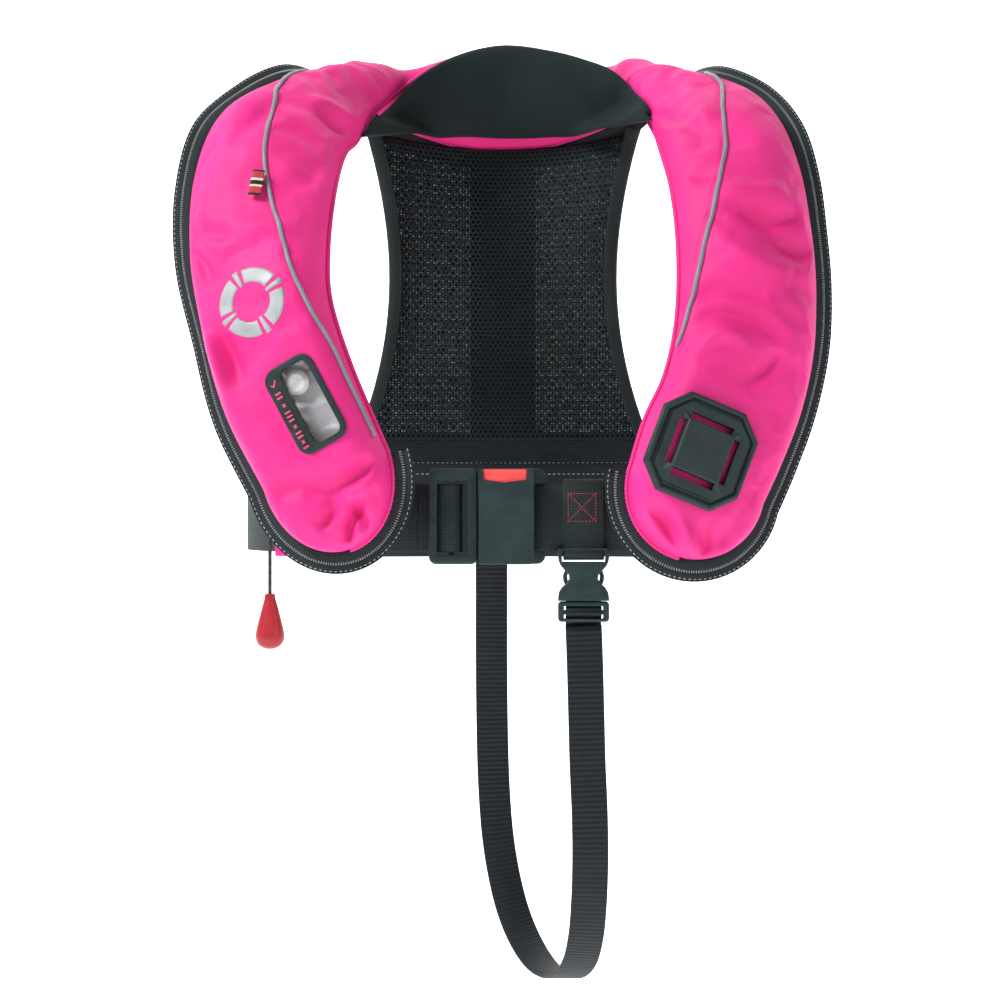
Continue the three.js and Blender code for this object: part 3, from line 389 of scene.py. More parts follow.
def texture(nodes, links, kind, coordinates, stretch, **settings):
    """A texture node on the object's or the piece's own coordinates, in metres."""
    source = nodes.get("coordinates") or nodes.new("ShaderNodeTexCoord")
    source.name = "coordinates"
    mapping = nodes.new("ShaderNodeMapping")
    mapping.inputs["Scale"].default_value = stretch if isinstance(stretch, tuple) else (stretch,) * 3
    links.new(source.outputs[coordinates], mapping.inputs["Vector"])
    made = nodes.new(kind)
    for key, value in settings.items():
        if hasattr(made, key):
            setattr(made, key, value)
        else:
            made.inputs[key.replace("_", " ").title()].default_value = value
    links.new(mapping.outputs["Vector"], made.inputs["Vector"])
    return made


def bands(pitch):
    """The wave texture's scale for bands at a pitch in mm."""
    return 0.314 / (pitch * MM)


def colour_ramp(nodes, links, source, low, high, start=0.3, end=0.7):
    ramp = nodes.new("ShaderNodeValToRGB")
    ramp.color_ramp.elements[0].position = start
    ramp.color_ramp.elements[1].position = end
    ramp.color_ramp.elements[0].color = (*low, 1)
    ramp.color_ramp.elements[1].color = (*high, 1)
    links.new(source, ramp.inputs["Fac"])
    return ramp.outputs["Color"]


def mixed(nodes, links, kind, a, b):
    node = nodes.new("ShaderNodeMath")
    node.operation = kind
    for socket, value in zip(node.inputs, (a, b)):
        if isinstance(value, (int, float)):
            socket.default_value = value
        else:
            links.new(value, socket)
    return node.outputs[0]


def bump(nodes, links, shader, layers):
    """Bump layers on top of each other: (height, strength, depth in mm)."""
    normal = None
    for height, strength, depth in layers:
        node = nodes.new("ShaderNodeBump")
        node.inputs["Strength"].default_value = strength
        node.inputs["Distance"].default_value = depth * MM
        links.new(height, node.inputs["Height"])
        if normal:
            links.new(normal, node.inputs["Normal"])
        normal = node.outputs["Normal"]
    links.new(normal, shader.inputs["Normal"])


def cloth_material(name, dark, light, weave=0.55, roughness=0.6, sheen=0.3, depth=0.12, wrinkle=0.8,
                   coordinates="UV"):
    """Woven cloth: two crossing sets of threads, soft creases and a slow change of shade."""
    material, nodes, links, shader = node_material(name)
    warp = texture(nodes, links, WAVE, coordinates, 1.0, bands_direction="X", scale=bands(weave))
    weft = texture(nodes, links, WAVE, coordinates, 1.0, bands_direction="Y", scale=bands(weave))
    creases = texture(nodes, links, NOISE, "Object", 60.0, scale=1.0, detail=6.0, roughness=0.55)
    shade = texture(nodes, links, NOISE, "Object", 14.0, scale=1.0, detail=3.0)
    links.new(colour_ramp(nodes, links, shade.outputs["Fac"], dark, light), shader.inputs["Base Color"])
    threads = mixed(nodes, links, "MULTIPLY", warp.outputs["Fac"], weft.outputs["Fac"])
    bump(nodes, links, shader, [(threads, 0.5, depth), (creases.outputs["Fac"], 0.35, wrinkle)])
    set_sockets(shader, roughness=roughness, sheen_weight=sheen, sheen_roughness=0.5, specular_ior_level=0.25)
    return material


def herringbone(nodes, links, pitch, column, slant):
    """Ribs across a strap that slant one way, then the other, column by column, on its UV in metres."""
    split = nodes.new("ShaderNodeSeparateXYZ")
    source = nodes.get("coordinates") or nodes.new("ShaderNodeTexCoord")
    source.name = "coordinates"
    links.new(source.outputs["UV"], split.inputs[0])
    columns = mixed(nodes, links, "MULTIPLY", split.outputs["Y"], 1000 / column)
    share = mixed(nodes, links, "FRACT", columns, 0)
    slide = mixed(nodes, links, "ABSOLUTE", mixed(nodes, links, "SUBTRACT", share, 0.5), 0)
    along = mixed(nodes, links, "ADD", split.outputs["X"], mixed(nodes, links, "MULTIPLY", slide, slant * MM))
    wave = mixed(nodes, links, "SINE", mixed(nodes, links, "MULTIPLY", along, 6283 / pitch), 0)
    ribs = mixed(nodes, links, "ADD", mixed(nodes, links, "MULTIPLY", wave, 0.5), 0.5)
    groove = mixed(nodes, links, "POWER", mixed(nodes, links, "MULTIPLY", slide, 2.0), 6.0)
    return mixed(nodes, links, "SUBTRACT", ribs, mixed(nodes, links, "MULTIPLY", groove, 0.5))


def webbing_material(name, dark, light, rib=1.35, column=2.5, slant=1.5, roughness=0.55):
    """Belt webbing: a herringbone of fine ribs with a little fuzz."""
    material, nodes, links, shader = node_material(name)
    weave = herringbone(nodes, links, rib, column, slant)
    fuzz = texture(nodes, links, NOISE, "UV", 900.0, scale=1.0, detail=3.0)
    tone = mixed(nodes, links, "ADD", mixed(nodes, links, "MULTIPLY", weave, 0.8),
                 mixed(nodes, links, "MULTIPLY", fuzz.outputs["Fac"], 0.3))
    links.new(colour_ramp(nodes, links, tone, dark, light, 0.15, 0.85), shader.inputs["Base Color"])
    bump(nodes, links, shader, [(weave, 0.8, 0.35), (fuzz.outputs["Fac"], 0.2, 0.1)])
    set_sockets(shader, roughness=roughness, specular_ior_level=0.25)
    return material


def plastic_material(name, colour, roughness=0.45, grain=0.05, worn=None):
    """Moulded plastic: fine spark grain and a slow change of gloss."""
    material, nodes, links, shader = node_material(name)
    fine = texture(nodes, links, NOISE, "Object", 1800.0, scale=1.0, detail=2.0)
    slow = texture(nodes, links, NOISE, "Object", 90.0, scale=1.0, detail=4.0)
    lighter = worn or tuple(min(1.0, c * 1.35 + 0.004) for c in colour)
    links.new(colour_ramp(nodes, links, slow.outputs["Fac"], colour, lighter), shader.inputs["Base Color"])
    gloss = nodes.new("ShaderNodeMapRange")
    gloss.inputs["To Min"].default_value = roughness - 0.07
    gloss.inputs["To Max"].default_value = roughness + 0.1
    links.new(slow.outputs["Fac"], gloss.inputs["Value"])
    links.new(gloss.outputs["Result"], shader.inputs["Roughness"])
    bump(nodes, links, shader, [(fine.outputs["Fac"], 0.3, grain)])
    shader.inputs["Specular IOR Level"].default_value = 0.3
    return material


PINK = cloth_material("pink cover cloth", (0.72, 0.022, 0.21), (0.86, 0.034, 0.28), weave=0.6,
                      roughness=0.55, sheen=0.0)
PINK_PLAIN = cloth_material("pink lining cloth", (0.68, 0.01, 0.18), (0.8, 0.016, 0.24), sheen=0.0,
                            coordinates="Object")
BLACK_PLAIN = cloth_material("black guide cloth", (0.008, 0.013, 0.014), (0.018, 0.026, 0.027), sheen=0.0,
                             coordinates="Object")
NEOPRENE = cloth_material("neoprene knit", (0.003, 0.011, 0.011), (0.006, 0.017, 0.017), weave=0.9,
                          roughness=0.8, sheen=0.04, depth=0.1, wrinkle=0.5, coordinates="Object")
MESH = cloth_material("spacer mesh yarn", (0.006, 0.016, 0.017), (0.014, 0.03, 0.031), weave=0.5,
                      roughness=0.7, sheen=0.0, wrinkle=0.2)
BLACK_CLOTH = cloth_material("black binding cloth", (0.004, 0.012, 0.012), (0.009, 0.02, 0.02), weave=0.8,
                             roughness=0.7, sheen=0.0, depth=0.2, wrinkle=0.4)
WEBBING = webbing_material("black webbing", (0.003, 0.009, 0.01), (0.02, 0.036, 0.038))
RIBBED = webbing_material("ribbed crotch webbing", (0.001, 0.004, 0.006), (0.006, 0.012, 0.017), rib=3.6,
                          column=1.1, slant=0.5)
ZIP_TAPE = webbing_material("zip tape", (0.004, 0.012, 0.012), (0.026, 0.042, 0.044), rib=1.1, column=1.6,
                            slant=0.9)
COIL = plastic_material("zip coil", (0.2, 0.23, 0.24), 0.4)
THREAD_GREY = plastic_material("grey thread", (0.3, 0.34, 0.35), 0.6)
THREAD_BLACK = plastic_material("black thread", (0.016, 0.022, 0.023), 0.6)
THREAD_PINK = plastic_material("pink thread", (0.75, 0.02, 0.22), 0.6)
THREAD_RED = plastic_material("red thread", (0.75, 0.05, 0.05), 0.6)
PIPING = plastic_material("reflective piping", (0.18, 0.22, 0.24), 0.35, worn=(0.24, 0.29, 0.31))
SILVER = plastic_material("silver reflective film", (0.34, 0.37, 0.38), 0.35, worn=(0.44, 0.47, 0.48))
BLACK_PLASTIC = plastic_material("black moulded plastic", (0.012, 0.026, 0.028), 0.42)
SATIN_PLASTIC = plastic_material("black satin rubber", (0.012, 0.024, 0.025), 0.5, grain=0.08)
RED_PLASTIC = plastic_material("red button plastic", (0.8, 0.075, 0.07), 0.4)
HANDLE_RED = plastic_material("red handle rubber", (0.32, 0.018, 0.026), 0.3)
WHITE_PLASTIC = plastic_material("white plastic", (0.8, 0.8, 0.78), 0.35)
GREY_PLASTIC = plastic_material("grey inflator plastic", (0.4, 0.42, 0.44), 0.35)
STEEL = plastic_material("plated steel", (0.5, 0.5, 0.5), 0.3)
STEEL.node_tree.nodes["Principled BSDF"].inputs["Metallic"].default_value = 1.0
YELLOW = cloth_material("yellow bladder cloth", (0.7, 0.42, 0.02), (0.85, 0.55, 0.03), coordinates="Object")
ORANGE = plastic_material("orange whistle plastic", (0.85, 0.22, 0.02), 0.35)
LABEL_RED = cloth_material("woven label", (0.35, 0.015, 0.03), (0.5, 0.03, 0.05), weave=0.7,
                           coordinates="Object")
LABEL_CREAM = cloth_material("woven label stripe", (0.6, 0.5, 0.4), (0.75, 0.66, 0.55), weave=0.7,
                             coordinates="Object")
MARK_PINK = plastic_material("pink print", (0.8, 0.06, 0.16), 0.6)


def clear_material():
    material, nodes, links, shader = node_material("clear window film")
    waves = texture(nodes, links, NOISE, "Object", 70.0, scale=1.0, detail=2.0)
    bump(nodes, links, shader, [(waves.outputs["Fac"], 0.35, 0.8)])
    # Painted reflection: noise streaks where the pale film turns more opaque, standing in for glare off its
    # wrinkles.
    painted_glare_streaks = texture(nodes, links, NOISE, "Object", (60.0, 60.0, 130.0), scale=1.0, detail=3.0)
    film = colour_ramp(nodes, links, painted_glare_streaks.outputs["Fac"], (0.03, 0.03, 0.03), (0.3, 0.3, 0.3), 0.5, 0.75)
    links.new(film, shader.inputs["Alpha"])
    set_sockets(shader, base_color=(0.85, 0.87, 0.88, 1), roughness=0.1)
    return material


CLEAR = clear_material()


# ---------------------------------------------------------------- repeated pieces along a path
def piece_tree(name, geometry_in, sizes, geometry_out):
    """A geometry node group with its geometry, its sizes in metres and its material as sockets."""
    tree = bpy.data.node_groups.new(name, "GeometryNodeTree")
    tree.interface.new_socket(geometry_in, in_out="INPUT", socket_type="NodeSocketGeometry")
    for label, value in sizes:
        tree.interface.new_socket(label, in_out="INPUT", socket_type="NodeSocketFloat").default_value = value
    tree.interface.new_socket("Material", in_out="INPUT", socket_type="NodeSocketMaterial")
    tree.interface.new_socket(geometry_out, in_out="OUTPUT", socket_type="NodeSocketGeometry")
    return tree


def join(tree, pairs):
    """Links in the tree: a node and its output, then the node and the socket that it feeds."""
    for source, output, target, socket in pairs:
        tree.links.new(source.outputs[output], target.inputs[socket])


def row_tree():
    """Geometry nodes: small rounded pieces at even steps along a path, turned along it and facing out."""
    sizes = (("Spacing", 0.003), ("Length", 0.002), ("Width", 0.0006), ("Height", 0.0005))
    tree = piece_tree("pieces along a path", "Path", sizes, "Pieces")
    nodes = tree.nodes
    inputs, outputs = nodes.new("NodeGroupInput"), nodes.new("NodeGroupOutput")
    curve = nodes.new("GeometryNodeMeshToCurve")
    even = nodes.new("GeometryNodeResampleCurve")
    even.mode = "LENGTH"
    tangent = nodes.new("GeometryNodeInputTangent")
    lift = nodes.new("GeometryNodeInputNamedAttribute")
    lift.data_type = "FLOAT_VECTOR"
    lift.inputs["Name"].default_value = "out"
    turn_along = nodes.new("FunctionNodeAlignRotationToVector")
    turn_along.axis = "X"
    turn_out = nodes.new("FunctionNodeAlignRotationToVector")
    turn_out.axis = "Z"
    turn_out.pivot_axis = "X"
    grain = nodes.new("GeometryNodeMeshUVSphere")
    grain.inputs["Segments"].default_value = 6
    grain.inputs["Rings"].default_value = 4
    grain.inputs["Radius"].default_value = 0.5
    size = nodes.new("ShaderNodeCombineXYZ")
    place = nodes.new("GeometryNodeInstanceOnPoints")
    real = nodes.new("GeometryNodeRealizeInstances")
    paint = nodes.new("GeometryNodeSetMaterial")
    join(tree, [
        (inputs, "Path", curve, "Mesh"),
        (curve, "Curve", even, "Curve"),
        (inputs, "Spacing", even, "Length"),
        (tangent, "Tangent", turn_along, "Vector"),
        (turn_along, "Rotation", turn_out, "Rotation"),
        (lift, "Attribute", turn_out, "Vector"),
        (even, "Curve", place, "Points"),
        (grain, "Mesh", place, "Instance"),
        (turn_out, "Rotation", place, "Rotation"),
        (size, "Vector", place, "Scale"),
        (place, "Instances", real, "Geometry"),
        (real, "Geometry", paint, "Geometry"),
        (inputs, "Material", paint, "Material"),
        (paint, "Geometry", outputs, "Pieces"),
    ])
    for name, socket in (("Length", "X"), ("Width", "Y"), ("Height", "Z")):
        tree.links.new(inputs.outputs[name], size.inputs[socket])
    return tree


ROW = row_tree()


def repeated(name, points, edges, outs, tree, values):
    """A piece made by a node group on a few points, each with its outward direction."""
    mesh = bpy.data.meshes.new(name)
    mesh.from_pydata(points, edges, [])
    attribute = mesh.attributes.new("out", "FLOAT_VECTOR", "POINT")
    attribute.data.foreach_set("vector", [c for o in outs for c in o])
    piece = new_object(name, mesh)
    modifier = piece.modifiers.new("pieces", "NODES")
    modifier.node_group = tree
    for item in tree.interface.items_tree:
        if item.item_type == "SOCKET" and item.in_out == "INPUT" and item.name in values:
            modifier[item.identifier] = values[item.name]
    applied(piece)
    shade_smooth(piece.data)
    return piece


def row(name, paths, spacing, length, width, height, material):
    """Stitches, teeth or dashes along one or more paths, each a list of (point, out direction)."""
    points, outs, edges = [], [], []
    for path in paths:
        start = len(points)
        points += [tuple(p * MM) for p, _ in path]
        outs += [tuple(o) for _, o in path]
        edges += [(start + i, start + i + 1) for i in range(len(path) - 1)]
    return repeated(name, points, edges, outs, ROW, {
        "Spacing": spacing * MM, "Length": length * MM, "Width": width * MM, "Height": height * MM,
        "Material": material})


def stitches(name, paths, material, body="jacket", spacing=3.0, length=2.2, width=0.55, height=0.5):
    piece = row(name, paths, spacing, length, width, height, material)
    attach(piece, body)
    return piece


# ---------------------------------------------------------------- cords: crotch strap and pull cord
CROTCH_ROUTE = [Vector(p) for p in [
    (55, -196, -369.5), (56, -195, -395), (57, -193, -430), (58, -191, -465), (59.5, -190, -500),
    (60, -187, -532),
    (59.5, -178, -562), (58, -161, -590), (54, -136, -614), (46, -106, -630), (37, -76, -635),
    (27, -46, -632),
    (17, -19, -621), (8, 3, -603), (1, 17, -578), (-4, 25, -548), (-7, 29, -510), (-8.5, 30, -460),
    (-9, 29.5, -405), (-9, 28.5, -360), (-9, 27, -327.5),
]]
HANDLE_X, HANDLE_Y, HANDLE_TOP, CORD_TOP = -161.5, -183, -348.5, -236


def make_cords():
    route = catmull(CROTCH_ROUTE, 150)
    piece = strap("crotch_webbing", strap_line(route, Vector((1, 0, 0))), STRAP_WIDTH, 1.7, RIBBED)
    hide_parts("crotch_strap")
    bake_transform(piece)

    down = [Vector((HANDLE_X, HANDLE_Y, CORD_TOP + (HANDLE_TOP - 4 - CORD_TOP) * i / 24)) for i in range(25)]
    cord = tube("pull_cord_braid", down, 1.3, cord_material())
    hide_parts("pull_cord")
    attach(cord, "handle")
    handle = pull_handle()


def cord_material():
    """Braided cord: two crossing spirals of yarn on the cord's own UV."""
    material, nodes, links, shader = node_material("black braided cord")
    one = texture(nodes, links, WAVE, "UV", (1, 0.9, 1), bands_direction="DIAGONAL", scale=90.0)
    two = texture(nodes, links, WAVE, "UV", (1, -0.9, 1), bands_direction="DIAGONAL", scale=90.0)
    braid = mixed(nodes, links, "MAXIMUM", one.outputs["Fac"], two.outputs["Fac"])
    links.new(colour_ramp(nodes, links, braid, (0.008, 0.012, 0.013), (0.03, 0.04, 0.042)),
              shader.inputs["Base Color"])
    bump(nodes, links, shader, [(braid, 0.8, 0.25)])
    shader.inputs["Roughness"].default_value = 0.6
    return material


def lathe(name, profile, at, material, steps=40):
    """A turned shape from (radius, height) pairs about an upright axis through a point."""
    points = [at + Vector((r * math.cos(2 * math.pi * j / steps), r * math.sin(2 * math.pi * j / steps), z))
              for r, z in profile for j in range(steps)]
    faces = grid_faces(len(profile), steps, closed_columns=True)
    return outward(new_piece(name, points, faces, material))


def pull_handle():
    """Soft red drop with a collar at its neck, a moulding seam and two thumb dimples."""
    profile = [(0.02, 0.3), (2.2, 0.4), (3.3, 0.0), (3.7, -1.2), (3.6, -3.2), (4.2, -4.8), (5.3, -8.5),
               (6.5, -13), (7.8, -18), (9.1, -23), (9.9, -27), (10.1, -30), (9.3, -33.4), (7.2, -36),
               (4.2, -37.6), (1.6, -38.1), (0.02, -38.2)]
    piece = lathe("pull_handle_drop", profile, Vector((HANDLE_X, HANDLE_Y, HANDLE_TOP)), HANDLE_RED)
    for v in piece.data.vertices:
        x, y = v.co.x / MM - HANDLE_X, v.co.y / MM - HANDLE_Y
        r = math.hypot(x, y)
        if r > 0.5:
            seam = 0.25 * math.exp(-((y / 0.5) ** 2))
            pull = 1 - 0.1 * (y / r) ** 2 + seam / r
            v.co.x = (HANDLE_X + x * (1 + seam / r)) * MM
            v.co.y = (HANDLE_Y + y * pull) * MM
    subdivide(piece)
    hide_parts("pull_handle")
    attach(piece, "handle")
    return piece


make_cords()


# ---------------------------------------------------------------- the cover's creases
def crease_list():
    """Creases pressed into the cloth: (points as x, z; depth, + in and - out; half width), all in mm."""
    return [
        ([(-72, -245), (-95, -266), (-117, -276), (-134, -279)], 4.6, 8),
        ([(-74, -258), (-96, -276), (-112, -286)], -2.6, 8),
        ([(-94, -281), (-102, -296), (-105, -312)], 3.8, 4.5),
        ([(-86, -277), (-76, -290), (-72, -300)], 3.4, 5),
        ([(-104, -284), (-96, -294), (-88, -310)], 3.2, 4),
        ([(-82, -262), (-72, -270), (-64, -278)], 3.0, 5),
        ([(-112, -284), (-118, -296), (-124, -303)], 3.4, 5),
        ([(-128, -272), (-143, -276), (-152, -282)], 2.0, 6),
        ([(-100, -290), (-96, -300), (-92, -312)], -1.6, 4),
        ([(-199, -176), (-190, -196), (-186, -214)], -3.0, 6),
        ([(-191, -170), (-182, -190), (-178, -206)], 2.4, 7),
        ([(-213, -110), (-204, -122), (-198, -138)], 2.4, 7),
        ([(-208, -98), (-186, -104), (-170, -104)], 1.8, 7),
        ([(-150, -97), (-172, -101), (-196, -112)], -1.8, 8),
        ([(-126, -8), (-113, -19), (-104, -30)], 3.6, 6),
        ([(-132, 2), (-118, -5), (-106, -10)], -2.0, 7),
        ([(-160, -2), (-172, -16), (-186, -24)], 1.6, 9),
        ([(-128, -60), (-146, -66), (-168, -64)], 1.2, 10),
        ([(-110, -45), (-124, -52), (-136, -66)], 1.4, 8),
        ([(150, -70), (172, -74), (196, -68)], -1.8, 9),
        ([(160, -84), (180, -92), (204, -88)], 2.2, 8),
        ([(186, -106), (200, -112), (212, -116)], 3.2, 10),
        ([(150, -112), (168, -121), (196, -130)], -2.0, 9),
        ([(132, -146), (152, -140), (178, -146)], 2.0, 8),
        ([(118, -172), (142, -158), (172, -164), (188, -176)], 2.4, 8),
        ([(122, -184), (146, -172), (164, -178)], -1.8, 7),
        ([(94, -198), (108, -190), (118, -183)], 2.4, 5),
        ([(97, -208), (108, -204), (112, -196)], -1.6, 5),
        ([(166, -204), (176, -196), (184, -182)], 1.6, 7),
        ([(98, -288), (110, -300), (116, -314)], 3.0, 6),
        ([(118, -300), (122, -310), (126, -322)], -1.8, 5),
        ([(134, -302), (136, -312), (134, -322)], 2.6, 5),
        ([(150, -296), (148, -306), (146, -316)], 2.0, 5),
        ([(88, -262), (90, -278), (98, -292)], -1.8, 5),
        ([(106, 2), (126, -12), (142, -30)], 1.8, 7),
        ([(132, 14), (140, 0), (146, -16)], -1.4, 7),
        ([(118, -50), (132, -58), (150, -58)], 1.4, 8),
    ]


CREASES = [([Vector(p) for p in catmull([Vector((x, 0, z)) for x, z in line], 10)], depth, width)
           for line, depth, width in crease_list()]


def crease_depth(p):
    """How far the cloth is pressed in at a point on the front of the jacket."""
    total = 0.0
    for line, depth, width in CREASES:
        if abs(p.x - line[5].x) > 60 or abs(p.z - line[5].z) > 60:
            continue
        near, share = 1e9, 0
        for k, (a, b) in enumerate(zip(line, line[1:])):
            ab = Vector((b.x - a.x, b.z - a.z))
            ap = Vector((p.x - a.x, p.z - a.z))
            t = min(1, max(0, ap.dot(ab) / max(ab.dot(ab), 1e-6)))
            d = (ap - ab * t).length
            if d < near:
                near, share = d, (k + t) / (len(line) - 1)
        taper = math.sin(math.pi * min(1, 0.12 + 0.88 * share)) ** 0.6 if share > 0.0 else 0.6
        total += CREASE_GAIN * depth * taper * math.exp(-((near / (CREASE_NARROWING * width)) ** 2))
    return total


WINDOW = front_frame(0.7, 0.33, 0.9) @ Matrix.Rotation(0.06, 4, "Z")
TAB = front_frame(21.4, 0.35, 4.2)
WINDOW_BACK, TAB_BACK = WINDOW.inverted(), TAB.inverted()


def calm(p):
    """0 under the window and the lashing tab, which hold the cloth flat, 1 away from them."""
    share = 1.0
    for back, half_x, half_y in ((WINDOW_BACK, 19, 33), (TAB_BACK, 34, 34)):
        q = back @ p
        off = max(abs(q.x) - half_x, abs(q.y) - half_y)
        if abs(q.z) < 40:
            share = min(share, smooth((off + 1) / 14))
    return share


def wrinkle(p, station, v):
    """Small irregular rises across the lobe, in mm."""
    broad = noise.noise(p / 46 + Vector((3.1, 0.7, 5.2)))
    across = noise.noise(Vector((v * 1.7 + 9, station * 0.85, 4.4)))
    fine = noise.noise(p / 17 + Vector((8.3, 2.9, 1.2)))
    return 2.4 * broad + 3.0 * across + 1.5 * fine


def cover_stations(start, end, step):
    count = max(2, round(abs(end - start) * 36 / step))
    return [start + (end - start) * i / count for i in range(count + 1)]


def settle(piece, pinned, cap, grow=0.012, frames=18):
    """Cloth, cut a little large, settles between its pinned edges; no point moves more than the cap (mm)."""
    start = [v.co.copy() for v in piece.data.vertices]
    group = piece.vertex_groups.new(name="pinned")
    for index, weight in pinned.items():
        group.add([index], weight, "REPLACE")
    cloth = piece.modifiers.new("cloth", "CLOTH")
    s = cloth.settings
    s.vertex_group_mass = "pinned"
    s.quality = 5
    s.mass = 0.12
    s.shrink_min = -grow
    s.tension_stiffness = 40
    s.compression_stiffness = 20
    s.shear_stiffness = 12
    s.bending_stiffness = 0.35
    s.air_damping = 2.0
    s.use_pressure = True
    s.uniform_pressure_force = 0.5
    s.effector_weights.gravity = 0
    cloth.point_cache.frame_start = 1
    cloth.point_cache.frame_end = frames
    for number in range(1, frames + 1):
        scene.frame_set(number)
    applied(piece)
    for vertex, old in zip(piece.data.vertices, start):
        move = vertex.co - old
        if move.length > cap * MM:
            vertex.co = old + move * (cap * MM / move.length)
    piece.vertex_groups.clear()
    scene.frame_set(1)


def cover_shell(name, start, end, side, node, columns=44, step=2.3):
    """One panel of the cover: a wrinkled sheet, creased on the front, where the lobes' panels are also settled
    as cloth, with its thickness given inwards.
    """
    stations = cover_stations(start, end, step)
    shares = [0.5 - 0.5 * math.cos(math.pi * (0.06 + 0.88 * j / (columns - 1))) for j in range(columns)]
    low, high = shares[0], shares[-1]
    shares = [(s - low) / (high - low) for s in shares]
    points, uv, pinned, pushes = [], [], {}, []
    run = 0.0
    for i, station in enumerate(stations):
        inner, outer, out, *_ = section(station)
        if i:
            run += (cover_point(station, 0.5) - cover_point(stations[i - 1], 0.5)).length
        width = (outer - inner).length
        for j, v in enumerate(shares):
            p = cover_point(station, v, side)
            edge = smooth(min(v, 1 - v) / 0.16) * smooth(min(abs(station - start), abs(end - station)) / 0.3)
            free = edge * (calm(p) if side > 0 else 1)
            rise = wrinkle(p, station, v) * (1 if side > 0 else 0.7)
            if side > 0:
                rise -= crease_depth(p)
            points.append(p + out * side * (rise * free))
            pushes.append(out * side * free)
            uv.append((run * MM, v * width * MM))
            pinned[i * columns + j] = 1 - 0.995 * free if free > 0.02 else 1.0
    piece = new_piece(name, points, grid_faces(len(stations), columns, flip=side > 0), PINK, uv)
    if side > 0 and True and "neck" not in name:
        settle(piece, pinned, SETTLE_CAP)
        for vertex, push in zip(piece.data.vertices, pushes):
            vertex.co -= push * (CREASE_AGAIN * crease_depth(vertex.co / MM) * MM)
    if name == "cover_front_left_cloth":
        cut_window(piece)
    add_modifier(piece, "SOLIDIFY", thickness=1.0 * MM, offset=-1.0)
    applied(piece)
    subdivide(piece)
    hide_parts(node)
    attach(piece, "jacket")
    return piece


def cut_window(piece):
    shape = bmesh.new()
    shape.from_mesh(piece.data)
    gone = []
    for face in shape.faces:
        q = WINDOW_BACK @ (face.calc_center_median() / MM)
        off_x, off_y = abs(q.x - 4), abs(q.y)
        if off_x < 12.5 and off_y < 29 and max(off_x - 6.5, 0) + max(off_y - 23, 0) < 6.5 and abs(q.z) < 20:
            gone.append(face)
    bmesh.ops.delete(shape, geom=gone, context="FACES")
    shape.to_mesh(piece.data)
    shape.free()


class Skin:
    """The covers' outer surface, for what is sewn or printed on them."""

    def __init__(self, pieces):
        depsgraph = bpy.context.evaluated_depsgraph_get()
        self.trees = [BVHTree.FromObject(piece, depsgraph) for piece in pieces]

    def on(self, p, out):
        """Where a line along the out direction through the point meets the skin, and the skin's normal."""
        best = None
        for tree in self.trees:
            hit, normal, _, _ = tree.ray_cast((p + out * 15) * MM, -out, 30 * MM)
            if hit and (best is None or (hit / MM - p).dot(out) > (best[0] - p).dot(out)):
                best = (hit / MM, normal)
        if not best:
            return p, out
        return best[0], best[1] if best[1].dot(out) > 0 else -best[1]


def surface_line(line, steps, lift=0.0):
    """Points down the front of a lobe from (station, share across) pairs, lifted off its skin."""
    pairs = catmull([Vector((s * 30, v * 90, 0)) for s, v in line], steps)
    result = []
    for q in pairs:
        s, v = q.x / 30, q.y / 90
        p = cover_point(s, v)
        ahead, beside = cover_point(s + 0.02, v), cover_point(s, v + 0.01)
        out = (ahead - p).cross(beside - p).normalized()
        p, normal = SKIN.on(p, out)
        result.append((p + normal * lift, normal))
    return result


# ---------------------------------------------------------------- the covers
FRONTS = [
    cover_shell("cover_front_left_cloth", -LOBE_TIP, LEFT_SEAM, 1, "cover_front_left"),
    cover_shell("cover_front_neck_cloth", LEFT_SEAM, RIGHT_SEAM, 1, "cover_front_neck"),
    cover_shell("cover_front_right_cloth", RIGHT_SEAM, LAST + LOBE_TIP, 1, "cover_front_right"),
]
BACKS = [
    cover_shell("cover_back_left_cloth", -LOBE_TIP, LEFT_SEAM, -1, "cover_back_left", 26, 4),
    cover_shell("cover_back_neck_cloth", LEFT_SEAM, RIGHT_SEAM, -1, "cover_back_neck", 26, 4),
    cover_shell("cover_back_right_cloth", RIGHT_SEAM, LAST + LOBE_TIP, -1, "cover_back_right", 26, 4),
]
SKIN = Skin(FRONTS)
LEFT_PIPING = [(7, .96), (6.4, .9), (5.6, .74), (5, .58), (4.5, .5), (4, .42), (3.4, .3), (3, .22),
               (2.5, .16), (2, .1), (1.3, .035), (0.7, .02), (0.2, .015)]
RIGHT_PIPING = [(13.1, .96), (13.8, .8), (15, .54), (15.8, .4), (16.2, .31), (16.8, .21), (17.3, .14),
                (17.8, .09), (18.6, .04), (19.4, .01)]


def make_piping():
    rows = []
    for side, line in (("left", LEFT_PIPING), ("right", RIGHT_PIPING)):
        path = surface_line(line, 120, 0.9)
        piece = tube("piping_" + side + "_cord", [p for p, _ in path], 1.45, PIPING, 10)
        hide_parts("piping_" + side)
        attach(piece, "jacket")
        beside = [(s, max(0.015, v - 0.045)) for s, v in line if v > 0.05]
        rows.append(surface_line(beside, 110, 0.15))
    stitches("piping_stitches", rows, THREAD_PINK, spacing=3.2, length=2.3, width=0.5, height=0.4)


# ---------------------------------------------------------------- zip round the outer edge
def outline_at(share):
    if share < 0.16 or share > 0.84:
        left = share < 0.16
        inner, outer, out, *_ = section(0 if left else LAST)
        turn = math.pi * (share if left else 1 - share) / 0.16
        below = section(-1 if left else LAST + 1)[0]
        middle = (inner + outer) / 2
        return middle + (below - middle) * math.sin(turn) - (outer - inner) / 2 * math.cos(turn), out
    inner, outer, out, *_ = section((share - 0.16) / 0.68 * LAST)
    return outer, out


